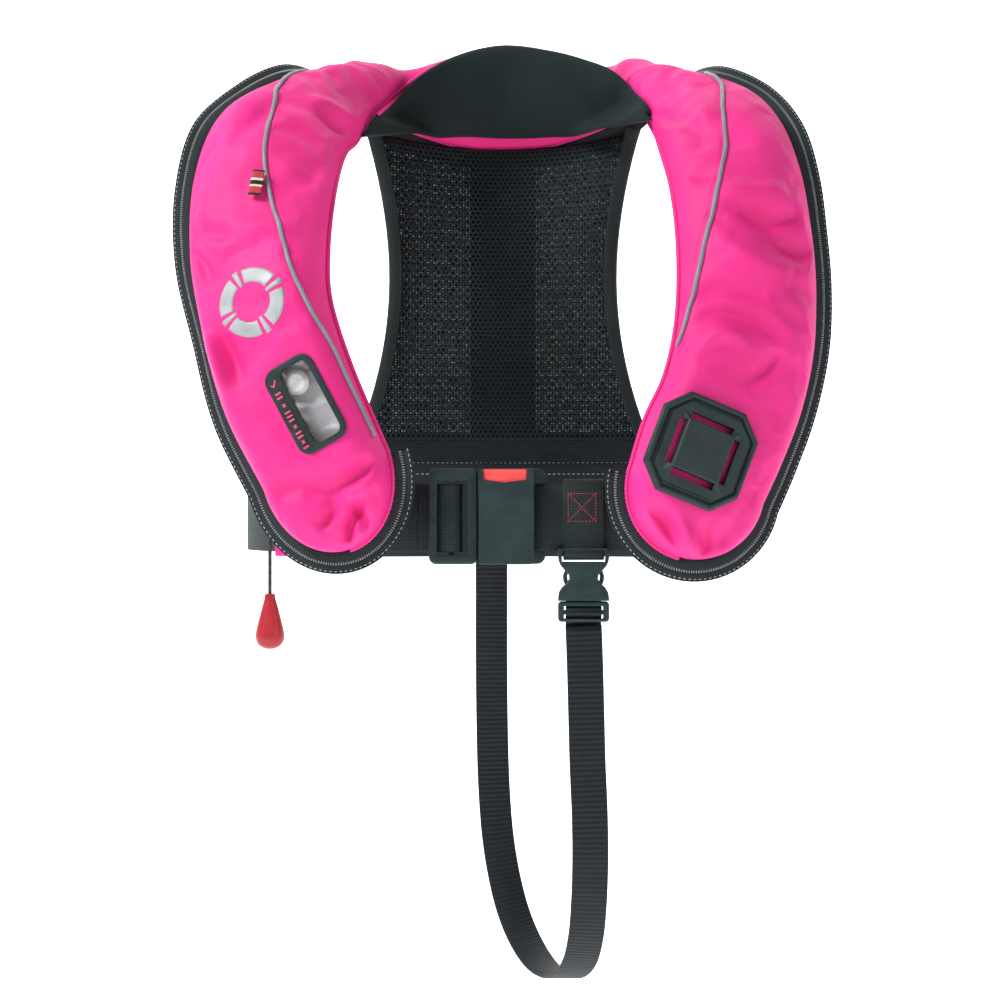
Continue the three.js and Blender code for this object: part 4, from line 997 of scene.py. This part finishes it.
def zip_frame(share, offset, drop=0.0):
    at, out = outline_at(share)
    travel = (outline_at(min(1, share + 0.004))[0] - outline_at(max(0, share - 0.004))[0]).normalized()
    away = out.cross(travel).normalized()
    return at + away * offset - out * drop, away, travel.cross(away).normalized()


def zip_line(offset, drop=0.0, count=420):
    return [zip_frame(i / count, offset, drop) for i in range(count + 1)]


def make_zip():
    for name, offset, drop, width in (("zip_tape_front", 3.7, 0.1, 6.6), ("zip_tape_back", 11.4, 1.0, 5.6)):
        piece = strap(name + "_woven", zip_line(offset, drop), width, 1.3, ZIP_TAPE)
        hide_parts(name)
        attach(piece, "jacket")
    coil = row("zip_teeth", [[(p + out * 0.3, out) for p, _, out in zip_line(7.8, 0.4)]], 1.75, 1.15, 2.7,
               2.3, COIL)
    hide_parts("zip_coil")
    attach(coil, "jacket")
    core = strap("zip_core", zip_line(7.8, 0.6), 2.6, 1.2, ZIP_TAPE)
    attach(core, "jacket")
    edge = [(p + out * 0.75, out) for p, _, out in zip_line(13.2, 1.0)]
    stitches("zip_edge_stitches", [edge], THREAD_GREY, spacing=3.6, length=2.3, width=0.8, height=0.5)
    hem = [(p + out * 0.75, out) for p, _, out in zip_line(1.5, 0.0)]
    stitches("zip_hem_stitches", [hem], THREAD_BLACK, spacing=3.0, length=2.2, width=0.7, height=0.6)
    binding = tube("zip_outer_binding", [p for p, _, _ in zip_line(14.0, 1.0)], 0.85, BLACK_CLOTH, 8)
    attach(binding, "jacket")
    flap = tube("cover_outer_hem", [p for p, _, _ in zip_line(0.4, -0.2)], 0.8, BLACK_CLOTH, 8)
    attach(flap, "jacket")


# ---------------------------------------------------------------- window, tab, print and label
def placed(piece, frame_matrix):
    """A piece drawn in a local place, moved there in its mesh. The place is in mm."""
    matrix = frame_matrix.copy()
    matrix.translation = frame_matrix.translation * MM
    piece.data.transform(matrix)
    return piece


def block(x0, x1, y0, y1, z0, z1):
    points = [Vector((x, y, z)) for z in (z0, z1) for y in (y0, y1) for x in (x0, x1)]
    faces = [(0, 2, 3, 1), (4, 5, 7, 6), (0, 1, 5, 4), (2, 6, 7, 3), (0, 4, 6, 2), (1, 3, 7, 5)]
    return points, faces


def bars(name, boxes, material):
    """Small printed bars in a local place: (x, y, length, width, angle)."""
    points, faces = [], []
    for x, y, length, width, angle in boxes:
        corner, quads = block(-length / 2, length / 2, -width / 2, width / 2, 2.85, 3.12)
        c, s = math.cos(math.radians(angle)), math.sin(math.radians(angle))
        start = len(points)
        points += [Vector((x + p.x * c - p.y * s, y + p.x * s + p.y * c, p.z)) for p in corner]
        faces += [tuple(start + i for i in quad) for quad in quads]
    return new_piece(name, points, faces, material, smooth_faces=False)


def make_window():
    refined("window_frame", SATIN_PLASTIC, 0.7)
    middle = -12.3
    marks = [(middle, y, 4.2, 1.1, 0) for y in (14.5, 11.5, 0.5, -2.5, -5.5, -15, -18, -26, -25.8)]
    marks += [(middle, y, 3.0, 0.7, angle) for y in (5.6, -10.4, -22) for angle in (45, -45)]
    marks += [(-13.2, 20.5, 2.4, 0.9, -45), (-11.2, 21.6, 4.8, 0.9, 52)]
    print_piece = placed(bars("window_marks", marks, MARK_PINK), WINDOW)
    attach(print_piece, "jacket")


def make_tab_details():
    """The lashing tab's raised rim, the ears at its bridge's corners and its sewn groove."""
    tree = BVHTree.FromObject(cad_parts["lash_tab"], bpy.context.evaluated_depsgraph_get())
    out = Vector((TAB[0][2], TAB[1][2], TAB[2][2]))

    def top(x, y):
        hit = tree.ray_cast((TAB @ Vector((x, y, 30))) * MM, -out, 0.08)[0]
        return (TAB_BACK @ (hit / MM)).z

    def eight_sided(h, c, z, steps):
        corners = [(c - h, -h), (h - c, -h), (h, c - h), (h, h - c), (h - c, h), (c - h, h), (-h, h - c),
                   (-h, c - h)]
        return [TAB @ Vector((x0 + (x1 - x0) * k / steps, y0 + (y1 - y0) * k / steps, z))
                for (x0, y0), (x1, y1) in zip(corners, corners[1:] + corners[:1]) for k in range(steps)]

    plate = top(31.5, 0)
    for name, h, c, radius in (("lash_tab_rim", 32.8, 14.2, 1.9), ("lash_tab_ledge", 28.6, 11, 1.1)):
        rim = tube(name, eight_sided(h, c, plate + 0.2, 5), radius, SATIN_PLASTIC, 12, closed=True)
        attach(rim, "jacket")
    sewn = eight_sided(30.5, 12.4, plate + 0.15, 8)
    stitches("lash_tab_stitches", [[(p, out) for p in sewn + sewn[:1]]], THREAD_BLACK, spacing=2.6,
             length=1.8, width=0.8, height=0.6)
    bridge, ring = top(14, 14), top(24.4, 24.4)
    shape = bmesh.new()
    for quarter in range(4):
        turn = TAB @ Matrix.Rotation(quarter * math.pi / 2, 4, "Z")
        corners = [(15.4, 15.4, bridge), (15.4, 22, ring), (22, 15.4, ring), (25, 25, ring)]
        corners += [(x, y, ring - 0.8) for x, y, z in corners]
        verts = [shape.verts.new((turn @ Vector(c)) * MM) for c in corners]
        bmesh.ops.convex_hull(shape, input=verts)
    bmesh.ops.recalc_face_normals(shape, faces=shape.faces)
    ears = new_object("lash_tab_ears", mesh_from(shape, "lash_tab_ears", SATIN_PLASTIC))
    add_modifier(ears, "BEVEL", width=0.5 * MM, segments=2, limit_method="ANGLE")
    applied(ears)
    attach(ears, "jacket")


def print_on_skin(name, frame_matrix, loops, material, lift=0.22):
    """Flat shapes laid on the skin: each is a grid of local (x, y) rows."""
    out = Vector((frame_matrix[0][2], frame_matrix[1][2], frame_matrix[2][2]))
    points, faces = [], []
    for rows in loops:
        start, columns = len(points), len(rows[0])
        for one in rows:
            for x, y in one:
                p, normal = SKIN.on(frame_matrix @ Vector((x, y, 0)), out)
                points.append(p + normal * lift)
        faces += [tuple(start + i for i in quad) for quad in grid_faces(len(rows), columns)]
    piece = new_piece(name, points, faces, material)
    if piece.data.polygons[0].normal.dot(out) < 0:
        piece.data.flip_normals()
    add_modifier(piece, "SOLIDIFY", thickness=0.15 * MM, offset=0)
    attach(piece, "jacket")
    return piece


def make_lifebuoy():
    place = front_frame(2.0, 0.46)
    loops = []
    for quarter in range(4):
        start = math.radians(quarter * 90 + 20 + 12)
        end = math.radians(quarter * 90 + 20 + 78)
        loops.append([[(r * math.cos(start + (end - start) * k / 16),
                        r * math.sin(start + (end - start) * k / 16))
                       for r in (14, 16, 18, 20, 22, 24)] for k in range(17)])
        middle = math.radians(quarter * 90 + 20)
        loops.append([[(r * math.cos(middle + a * 0.085), r * math.sin(middle + a * 0.085))
                       for r in (13, 16, 19, 22, 25.4)] for a in (-1, 0, 1)])
    print_on_skin("lifebuoy_print", place, loops, SILVER)


def make_label():
    place = front_frame(3.7, 0.43, 1.6)
    points, faces = [], []
    for j in range(13):
        for i in range(6):
            x = -4.6 + i * 1.8
            y = -10.5 + j * 1.75
            points.append(place @ Vector((x, y,
                                          0.5 + 0.5 * math.sin(i * 0.9 + 0.4) + 0.25 * math.sin(j * 0.8))))
    faces = grid_faces(13, 6)
    piece = new_piece("side_label_woven", points, faces, LABEL_RED)
    piece.data.materials.append(LABEL_CREAM)
    piece.data.materials.append(BLACK_CLOTH)
    for polygon in piece.data.polygons:
        j = polygon.index // 5
        polygon.material_index = 2 if j in (0, 11) else 1 if j in (4, 7) else 2 if j in (5, 6) else 0
    add_modifier(piece, "SOLIDIFY", thickness=0.6 * MM, offset=0)
    applied(piece)
    subdivide(piece)
    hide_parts("side_label")
    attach(piece, "jacket")


# ---------------------------------------------------------------- collar
# The collar's upper and lower edge, (x, z) in mm, left to right.
COLLAR_TOP = [(-104.5, -13.5), (-97, -3.5), (-88, 10), (-77, 26), (-66.5, 38), (-55.5, 47.5), (-40.5, 57),
              (-21.5, 65), (1.5, 69), (25, 66), (51, 58.5), (73.5, 47), (88, 35), (98, 21.5), (105, 9),
              (109.5, -1)]
COLLAR_FOOT = [(-105, -15.5), (-95.5, -13), (-85, -10), (-70.5, -5.5), (-48.5, -1.5), (-25.5, 0),
               (-2.5, -0.5), (21, -0.5), (44, -0.5), (73.5, -2.5), (94.5, -4), (106.5, -4.5), (110, -3.5)]


def make_collar():
    """Soft neoprene pad between its two edges, lying against the wearer's side of the cover."""
    trees = [BVHTree.FromObject(piece, bpy.context.evaluated_depsgraph_get()) for piece in BACKS]
    rows, columns = 96, 20
    top = catmull([Vector((x, 0, z)) for x, z in COLLAR_TOP], rows)
    foot = catmull([Vector((x, 0, z)) for x, z in COLLAR_FOOT], rows)
    depth = []
    for i in range(rows + 1):
        line = []
        for j in range(columns + 1):
            p = top[i].lerp(foot[i], j / columns)
            hits = [tree.ray_cast(Vector((p.x, -400, p.z)) * MM, Vector((0, 1, 0)), 0.6)[0] for tree in trees]
            hits = [hit.y / MM for hit in hits if hit]
            rim = 1 - 0.0075 * p.x ** 2
            line.append(min(hits) if hits and j > 1 else min(hits + [rim]) if hits else rim)
        depth.append(line)
    for _ in range(14):
        depth = [[(depth[max(i - 1, 0)][j] + depth[min(i + 1, rows)][j] + depth[i][max(j - 1, 0)]
                   + depth[i][min(j + 1, columns)] + 2 * depth[i][j]) / 6 for j in range(columns + 1)]
                 for i in range(rows + 1)]
    front, rear = [], []
    for i in range(rows + 1):
        for j in range(columns + 1):
            w, share = j / columns, i / rows
            p = top[i].lerp(foot[i], w)
            edge = min(1, min(w, 1 - w) / 0.2, min(share, 1 - share) / 0.06)
            round_off = 5 * (1 - (1 - edge) ** 2) ** 0.5
            soft = 1.1 * noise.noise(Vector((p.x / 34, w * 1.3, 2.7))) * edge
            dent = 1.6 * math.exp(-(((p.x - 58 - 30 * w) / 9) ** 2)) * edge
            front.append(Vector((p.x, depth[i][j] - 3.2 - round_off + soft + dent, p.z)))
            rear.append(Vector((p.x, depth[i][j] - 2.2, p.z)))
    width = columns + 1
    count = (rows + 1) * width
    faces = grid_faces(rows + 1, width)
    faces += [tuple(count + i for i in reversed(quad)) for quad in faces]
    rim = list(range(width)) + [i * width + width - 1 for i in range(1, rows + 1)]
    rim += [rows * width + j for j in reversed(range(width - 1))]
    rim += [i * width for i in reversed(range(1, rows))]
    faces += [(a, count + a, count + b, b) for a, b in zip(rim, rim[1:] + rim[:1])]
    piece = outward(new_piece("collar_neoprene", front + rear, faces, NEOPRENE))
    subdivide(piece)
    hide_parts("collar_pad")
    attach(piece, "jacket")
    edge = [(front[i * width + columns - 1] + Vector((0, -0.4, 0)), Vector((0, -1, 0)))
            for i in range(4, rows - 3)]
    stitches("collar_stitches", [edge], THREAD_BLACK, spacing=3.2, length=2.3, width=0.6, height=0.5)


def make_inner_hem():
    """The cover's two halves are joined round the neck by a rolled hem."""
    line = [section(-HEM_TIP + (LAST + 2 * HEM_TIP) * i / 420)[0] for i in range(421)]
    piece = tube("cover_inner_hem", line, 1.9, PINK, 10)
    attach(piece, "jacket")


make_piping()
make_zip()
make_window()
make_tab_details()
make_lifebuoy()
make_label()
make_collar()
make_inner_hem()


# ---------------------------------------------------------------- mesh back panel
def half_width(z):
    return 82 + 0.00156 * (z + 108) ** 2


def panel_point(x, z, shift=0.0):
    low = min(1, max(0, (-8 - z) / 248))
    y = 30 - 3 * low - (0.0042 - 0.0032 * low) * x * x
    rise = 0.0006 * x * x * min(1, max(0, 1 - (-8 - z) / 60))
    return Vector((x, y + shift, z + rise))


def panel_normal(x, z):
    across = panel_point(x + 1, z) - panel_point(x - 1, z)
    up = panel_point(x, z + 1) - panel_point(x, z - 1)
    return across.cross(up).normalized()


def eyelet_tree():
    """Geometry nodes: one six-sided loop of yarn on every point, laid flat on the panel."""
    tree = piece_tree("yarn loops", "Places", (("Loop Radius", 0.0019), ("Yarn Radius", 0.0006)), "Loops")
    nodes = tree.nodes
    inputs, outputs = nodes.new("NodeGroupInput"), nodes.new("NodeGroupOutput")
    loop, yarn = nodes.new("GeometryNodeCurvePrimitiveCircle"), nodes.new("GeometryNodeCurvePrimitiveCircle")
    loop.inputs["Resolution"].default_value = 6
    yarn.inputs["Resolution"].default_value = 4
    sweep = nodes.new("GeometryNodeCurveToMesh")
    lift = nodes.new("GeometryNodeInputNamedAttribute")
    lift.data_type = "FLOAT_VECTOR"
    lift.inputs["Name"].default_value = "out"
    turn = nodes.new("FunctionNodeAlignRotationToVector")
    turn.axis = "Z"
    place = nodes.new("GeometryNodeInstanceOnPoints")
    real = nodes.new("GeometryNodeRealizeInstances")
    paint = nodes.new("GeometryNodeSetMaterial")
    join(tree, [
        (inputs, "Loop Radius", loop, "Radius"),
        (inputs, "Yarn Radius", yarn, "Radius"),
        (loop, "Curve", sweep, "Curve"),
        (yarn, "Curve", sweep, "Profile Curve"),
        (lift, "Attribute", turn, "Vector"),
        (inputs, "Places", place, "Points"),
        (sweep, "Mesh", place, "Instance"),
        (turn, "Rotation", place, "Rotation"),
        (place, "Instances", real, "Geometry"),
        (real, "Geometry", paint, "Geometry"),
        (inputs, "Material", paint, "Material"),
        (paint, "Geometry", outputs, "Loops"),
    ])
    return tree


EYELETS = eyelet_tree()


def knit(name, z0, z1, inset, pitch, yarn, shift):
    """Open warp knit over the panel between two heights: a honeycomb of yarn loops."""
    points, outs = [], []
    rows = int((z1 - z0) / (pitch * 0.866))
    for i in range(rows + 1):
        z = z0 + i * pitch * 0.866
        reach = half_width(z) - inset
        count = int(reach / pitch)
        for j in range(-count, count + 1):
            x = (j + 0.5 * (i % 2)) * pitch
            if abs(x) < reach:
                points.append(panel_point(x, z, shift))
                outs.append(panel_normal(x, z))
    piece = repeated(name, [tuple(p * MM) for p in points], [], outs, EYELETS, {
        "Loop Radius": pitch * 0.5 * MM, "Yarn Radius": yarn * MM, "Material": MESH})
    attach(piece, "jacket")
    return piece


def backing_material():
    """The knit's rear face: dark yarn with fine open holes."""
    material, nodes, links, shader = node_material("spacer mesh rear face")
    one = texture(nodes, links, WAVE, "UV", 1.0, bands_direction="X", scale=bands(2.3))
    two = texture(nodes, links, WAVE, "UV", 1.0, bands_direction="Y", scale=bands(2.0))
    patch = texture(nodes, links, NOISE, "UV", 160.0, scale=1.0, detail=2.0)
    crossed = mixed(nodes, links, "MULTIPLY", one.outputs["Fac"], two.outputs["Fac"])
    open_part = mixed(nodes, links, "MULTIPLY", crossed, mixed(nodes, links, "ADD", patch.outputs["Fac"], 0.35))
    alpha = colour_ramp(nodes, links, open_part, (1, 1, 1), (0.5, 0.5, 0.5), 0.6, 0.72)
    links.new(alpha, shader.inputs["Alpha"])
    links.new(colour_ramp(nodes, links, patch.outputs["Fac"], (0.006, 0.01, 0.01), (0.016, 0.022, 0.022)),
              shader.inputs["Base Color"])
    set_sockets(shader, roughness=0.8, specular_ior_level=0.2)
    return material


def panel_sheet(name, z0, z1, left, right, shift, thickness, material, columns=60, rows=80):
    points, uv = [], []
    for i in range(rows + 1):
        z = z0 + (z1 - z0) * i / rows
        for j in range(columns + 1):
            x = left(z) + (right(z) - left(z)) * j / columns
            points.append(panel_point(x, z, shift))
            uv.append((x * MM, z * MM))
    piece = new_piece(name, points, grid_faces(rows + 1, columns + 1), material, uv)
    add_modifier(piece, "SOLIDIFY", thickness=thickness * MM, offset=0)
    applied(piece)
    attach(piece, "jacket")
    return piece


def make_panel():
    face = knit("back_mesh_knit", -233, -9, 4, 3.9, 0.62, -1.9)
    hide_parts("back_mesh_panel")
    panel_sheet("back_mesh_rear", -234, -6, lambda z: -half_width(z), half_width, 1.6, 0.5,
                backing_material())
    band = panel_sheet("back_lower_band_cloth", -255, -232.6, lambda z: -half_width(z), half_width, 0.6, 3,
                       MESH, 60, 8)
    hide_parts("back_lower_band")
    knit("back_lower_band_knit", -253, -234.5, 4, 2.7, 0.5, -1.3)
    webbing = panel_sheet("back_centre_webbing", -256, -15, lambda z: -26, lambda z: 26, 4.0, 1.8, WEBBING,
                          20, 80)
    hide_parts("back_webbing")
    rows, sides = [], 14
    for side, name in ((-1, "left"), (1, "right")):
        line = []
        for i in range(101):
            z = -2 - 253.5 * i / 100
            x = side * (half_width(z) + 1.5)
            ahead, behind = (side * (half_width(z + d) + 1.5) for d in (-1, 1))
            across = Vector((1, 0, (ahead - behind) / 2)).normalized()
            line.append((panel_point(x, z, -0.4), across, panel_normal(x, z)))
        points, uv, run = [], [], 0.0
        for i, (at, across, out) in enumerate(line):
            run += (at - line[i - 1][0]).length if i else 0
            for k in range(sides):
                a = 2 * math.pi * k / sides
                swell = 1 + 0.04 * math.sin(run / 2.2)
                points.append(at + across * 5 * eased(math.cos(a),
                                                      0.7) + out * 3.4 * swell * eased(math.sin(a), 0.8))
                uv.append((run * MM, 5 * a * MM))
        tape = new_piece("back_binding_" + name + "_tape", points, capped_faces(len(line), sides),
                         BLACK_CLOTH, uv)
        piece = outward(tape)
        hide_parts("back_binding_" + name)
        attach(piece, "jacket")
        rows.append([(at - across * side * 2.6 + out * 3.1, out) for at, across, out in line])
    for z, shift in ((-235.5, -2.2), (-254.2, -1.6)):
        rows.append([(panel_point(x, z, shift), Vector((0, -1, 0))) for x in range(-104, 105, 4)])
    stitches("back_panel_stitches", rows[:3], THREAD_BLACK, spacing=3.4, length=2.5, width=0.7, height=0.5)
    stitches("back_panel_foot_stitches", rows[3:], THREAD_GREY, spacing=3.8, length=2.3, width=0.6,
             height=0.4)


# ---------------------------------------------------------------- waist belt
def make_belt():
    plan = [(20, -190), (70, -190), (120, -187), (158, -165), (185, -105), (178, -45), (148, -2), (105, 15),
            (55, 24), (0, 27)]
    plan += [(-x, y) for x, y in reversed(plan[:-1])]
    around = catmull([Vector((x, y, BELT_Z)) for x, y in plan], 600)
    up = Vector((0, 0, 1))

    def stretch(name, node, keep):
        points = [p for p in around if keep(p)]
        piece = strap(name, strap_line(points, up), BELT_WIDTH, 2.0, WEBBING)
        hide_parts(node)
        return piece

    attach(stretch("waist_belt_right_webbing", "waist_belt_right", lambda p: p.x > 0.4), "jacket")
    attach(stretch("waist_belt_left_webbing", "waist_belt_left",
                    lambda p: p.x < -0.4 and (p.y > -120 or p.x < -128.4)), "jacket")
    loose = stretch("waist_belt_front_webbing", "waist_belt_front_left",
                    lambda p: p.y < -120 and -127.6 < p.x < -27)
    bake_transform(loose)
    turn = [(-58, -192.1), (-50, -193.2), (-45.5, -195.6), (-41, -198.6), (-37, -199.3), (-33.5, -199.1),
            (-31.4, -197.2), (-31.6, -194.2)]
    turn_line = strap_line(catmull([Vector((x, y, BELT_Z)) for x, y in turn], 40), up)
    loop = strap("belt_turn_round_bar", turn_line, BELT_WIDTH - 1, 1.9, WEBBING)
    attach(loop, "tongue")
    back = [p for p in around if p.y > -20 and abs(p.x) < 112]
    line = strap_line(back, up)
    points, uv, run, sides = [], [], 0.0, 28
    for i, (at, across, out) in enumerate(line):
        run += (at - line[i - 1][0]).length if i else 0
        for k in range(sides):
            a = 2 * math.pi * k / sides
            tall, deep = 37 * eased(math.sin(a), 0.35), 4.2 * eased(math.cos(a), 0.6)
            soft = 0.5 * noise.noise(Vector((run / 22, tall / 16, deep)))
            points.append(at + Vector((0, 0, 5 + tall)) + out * (deep + soft))
            uv.append((run * MM, tall * MM))
    sleeve = outward(new_piece("back_belt_sleeve_cloth", points, capped_faces(len(line), sides),
                               BLACK_CLOTH, uv))
    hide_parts("back_belt_sleeve")
    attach(sleeve, "jacket")
    hem = [(Vector((at.x, at.y - 4.9, -263)), Vector((0, -1, 0))) for at, _, _ in line]
    stitches("belt_sleeve_stitches", [hem], THREAD_GREY, spacing=3.8, length=2.4, width=0.7, height=0.5)
    bracket = [(19, -192.2), (23, -194.4), (27.5, -195.8), (32, -195.3), (38, -193.7), (46, -192.5)]
    bracket_line = strap_line(catmull([Vector((x, y, BELT_Z)) for x, y in bracket], 30), up)
    over = strap("belt_over_bracket", bracket_line, BELT_WIDTH - 2, 1.9, WEBBING)
    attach(over, "jacket")


def make_buckle_face():
    """The buckle's front panel, whose upper edge dips to a shallow V over the red button."""
    outline = [(-17, -262.6), (-14.2, -262.3), (-13.4, -269.6), (1, -271.6), (15.6, -269.6), (16.4, -262.3),
               (20.6, -262.6)]
    right = [(20.6, -262.6), (20.9, -280), (21.0, -300), (20.6, -327)]
    left = [(-17, -327.4), (-15.8, -318), (-15.4, -306), (-16.8, -290), (-17.2, -276), (-17, -262.6)]
    rim = [Vector((x, 0, z)) for x, z in outline + right[1:] + left[:-1]]
    front = [p + Vector((0, -205.9, 0)) for p in rim]
    rear = [p + Vector((0, -204.5, 0)) for p in rim]
    count = len(rim)
    faces = [tuple(range(count)), tuple(count + i for i in reversed(range(count)))]
    faces += [(i, count + i, count + (i + 1) % count, (i + 1) % count) for i in range(count)]
    panel = outward(new_piece("buckle_front_panel", front + rear, faces, BLACK_PLASTIC, smooth_faces=False))
    add_modifier(panel, "BEVEL", width=0.5 * MM, segments=3, limit_method="ANGLE",
                 angle_limit=math.radians(40))
    applied(panel)
    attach(panel, "jacket")
    points, quads = block(-13.9, 16.1, -204.4, -195.2, -293.5, -262.4)
    button = outward(new_piece("release_button_moulded", points, quads, RED_PLASTIC, smooth_faces=False))
    add_modifier(button, "BEVEL", width=0.8 * MM, segments=3, limit_method="ANGLE",
                 angle_limit=math.radians(40))
    applied(button)
    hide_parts("release_button")
    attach(button, "button")


def make_strap_lock():
    """Where the crotch strap doubles over the plug's middle bar."""
    route = [(-193.4, -350), (-193.8, -354), (-197.2, -356.6), (-200.8, -359), (-201.2, -361), (-198.6, -363),
             (-194.4, -364.6), (-192.6, -367.5), (-193.2, -373)]
    line = strap_line(catmull([Vector((55, y, z)) for y, z in route], 48), Vector((1, 0, 0)))
    piece = strap("crotch_strap_lock", line, STRAP_WIDTH - 0.4, 1.3, RIBBED)
    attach(piece, "plug")


def make_crotch_tab():
    x = 55
    route = [(-187.0, -319), (-187.0, -300), (-186.9, -276), (-188.0, -270.8), (-190.4, -269.6),
             (-192.8, -270.8), (-193.6, -276), (-193.7, -295), (-193.9, -311), (-195.6, -316), (-198.4, -319),
             (-199.4, -321.5), (-198.6, -323.6), (-195.6, -323.8)]
    line = strap_line(catmull([Vector((x, y, z)) for y, z in route], 90), Vector((1, 0, 0)))
    piece = strap("crotch_tab_webbing", line, 28, 1.5, WEBBING)
    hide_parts("crotch_tab")
    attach(piece, "jacket")
    out = Vector((0, -1, 0))
    corners = [(44.6, -279), (63.4, -279), (63.4, -298), (44.6, -298)]
    box = [Vector((a, -194.5, b)) for a, b in corners + corners[:1]]
    rows = [[(box[i].lerp(box[i + 1], k / 6), out) for k in range(7)] for i in range(4)]
    rows += [[(box[a].lerp(box[b], k / 8), out) for k in range(9)] for a, b in ((0, 2), (1, 3))]
    stitches("crotch_tab_box_stitches", rows, THREAD_RED, spacing=1.9, length=1.3, width=0.45, height=0.45)


def soft_copy(node, name, material, spacing=4.0, rumple=0.5):
    """A sewn part on its CAD node: finely divided, its faces rumpled and its edges eased."""
    shape = bmesh.new()
    shape.from_mesh(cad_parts[node].data)
    bmesh.ops.remove_doubles(shape, verts=shape.verts, dist=2e-6)
    for _ in range(4):
        long_edges = [edge for edge in shape.edges if edge.calc_length() > spacing * MM]
        if not long_edges:
            break
        bmesh.ops.subdivide_edges(shape, edges=long_edges, cuts=1)
        bmesh.ops.triangulate(shape, faces=[face for face in shape.faces if len(face.verts) > 4])
    for vertex in shape.verts:
        p = vertex.co / MM
        vertex.co += vertex.normal * (rumple * noise.noise(p / 12) * MM)
    mesh = mesh_from(shape, name, material)
    shade_smooth(mesh)
    mesh.set_sharp_from_angle(angle=math.radians(50))
    piece = new_object(name, mesh)
    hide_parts(node)
    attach(piece, "jacket")
    return piece


def make_firing_cap():
    inflator = front_frame(0.7, 0.33, -31.4) @ Matrix.Rotation(0.06, 4, "Z")
    profile = [(0.05, -2.5), (7.9, -2.5), (8.5, -1.8), (8.5, 1.6), (8.1, 2.4), (6.6, 3.0), (6.2, 3.9),
               (5.6, 4.2), (3.0, 4.1), (2.6, 3.6), (0.05, 3.5)]
    cap = placed(lathe("firing_cap_turned", profile, Vector((-1, 17.5, 19.9)), WHITE_PLASTIC, 48), inflator)
    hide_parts("firing_cap")
    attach(cap, "jacket")


make_panel()
make_belt()
make_crotch_tab()
make_buckle_face()
make_strap_lock()
for side_name in ("left", "right"):
    for part, rumple in (("belt_tunnel_", 0.2), ("belt_wing_", 0.8)):
        soft_copy(part + side_name, part + side_name + "_cloth", PINK_PLAIN, 4, rumple)
soft_copy("bladder", "bladder_folded", YELLOW, 9, 1.0)
soft_copy("oral_tube", "oral_tube_rubber", YELLOW, 5, 0.1)
soft_copy("cord_guide", "cord_guide_cloth", BLACK_PLAIN, 4, 0.1)
make_firing_cap()
for node_name, look, rounding, rides in (
    ("buckle_tongue", BLACK_PLASTIC, 0.8, "tongue"),
    ("buckle_housing_front", BLACK_PLASTIC, 0.8, "jacket"),
    ("buckle_housing_rear", BLACK_PLASTIC, 0.8, "jacket"),
    ("side_buckle_socket", BLACK_PLASTIC, 0.5, "jacket"),
    ("side_buckle_plug", BLACK_PLASTIC, 0.5, "plug"),
    ("side_buckle_arm_left", BLACK_PLASTIC, 0.4, "plug_arm_left"),
    ("side_buckle_arm_right", BLACK_PLASTIC, 0.4, "plug_arm_right"),
    ("lash_tab", SATIN_PLASTIC, 0.7, "jacket"),
    ("window_pane", CLEAR, 0.2, "jacket"),
    ("zip_slider", STEEL, 0.25, "slider"),
    ("zip_pull_tab", STEEL, 0.2, "pull_tab"),
    ("inflator_body", GREY_PLASTIC, 0.6, "jacket"),
    ("co2_cylinder", STEEL, 0.3, "jacket"),
    ("whistle", ORANGE, 0.4, "jacket"),
    ("oral_tube_cap", BLACK_PLASTIC, 0.4, "jacket"),
    ("firing_lever", RED_PLASTIC, 0.3, "lever"),
):
    refined(node_name, look, rounding, rides, segments=3 if node_name == "lash_tab" else 2)


# ---------------------------------------------------------------- materials of the carried-over parts
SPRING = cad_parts["button_spring"].data.materials
SPRING.clear()
SPRING.append(STEEL)


# ---------------------------------------------------------------- floor, backdrop and light
def make_stage():
    """A floor that curves up into a backdrop; it lies lower than the crotch strap's lowest pose."""
    floor, bend_from, bend, near, top, half_width_x = -665, 900, 600, -1500, 2600, 3200
    turns = [a * math.pi / 24 for a in range(1, 13)]
    profile = [(near, floor), (bend_from, floor)]
    profile += [(bend_from + bend * math.sin(a), floor + bend - bend * math.cos(a)) for a in turns]
    profile += [(bend_from + bend, top)]
    points = [Vector((x, y, z)) for y, z in profile for x in (-half_width_x, half_width_x)]
    paper, _, _, shader = node_material("pale paper")
    set_sockets(shader, base_color=(0.9, 0.9, 0.9, 1), roughness=0.9, emission_color=(1, 1, 1, 1),
                emission_strength=0.92)
    sweep = new_piece("studio_sweep", points, grid_faces(len(profile), 2), paper)


def area_light(name, at, target, size, power):
    data = bpy.data.lights.new(name, "AREA")
    data.shape = "RECTANGLE"
    data.size, data.size_y = size
    data.energy = power
    light = bpy.data.objects.new(name, data)
    light.location = Vector(at)
    light.rotation_euler = (Vector(target) - Vector(at)).to_track_quat("-Z", "Y").to_euler()
    scene.collection.objects.link(light)


def make_lights():
    world = bpy.data.worlds.new("studio")
    world.use_nodes = True
    set_sockets(world.node_tree.nodes["Background"], color=(1, 1, 1, 1), strength=0.3)
    scene.world = world
    area_light("key", (-1.3, -0.9, 1.1), (0, -0.1, -0.2), (0.6, 0.6), 38)
    area_light("fill", (1.7, -1.4, 0.1), (0, -0.1, -0.2), (1.4, 1.4), 9)
    area_light("back wall", (0, 0.6, 1.4), (0, 1.5, -0.2), (2.5, 1.0), 10)


make_stage()
make_lights()
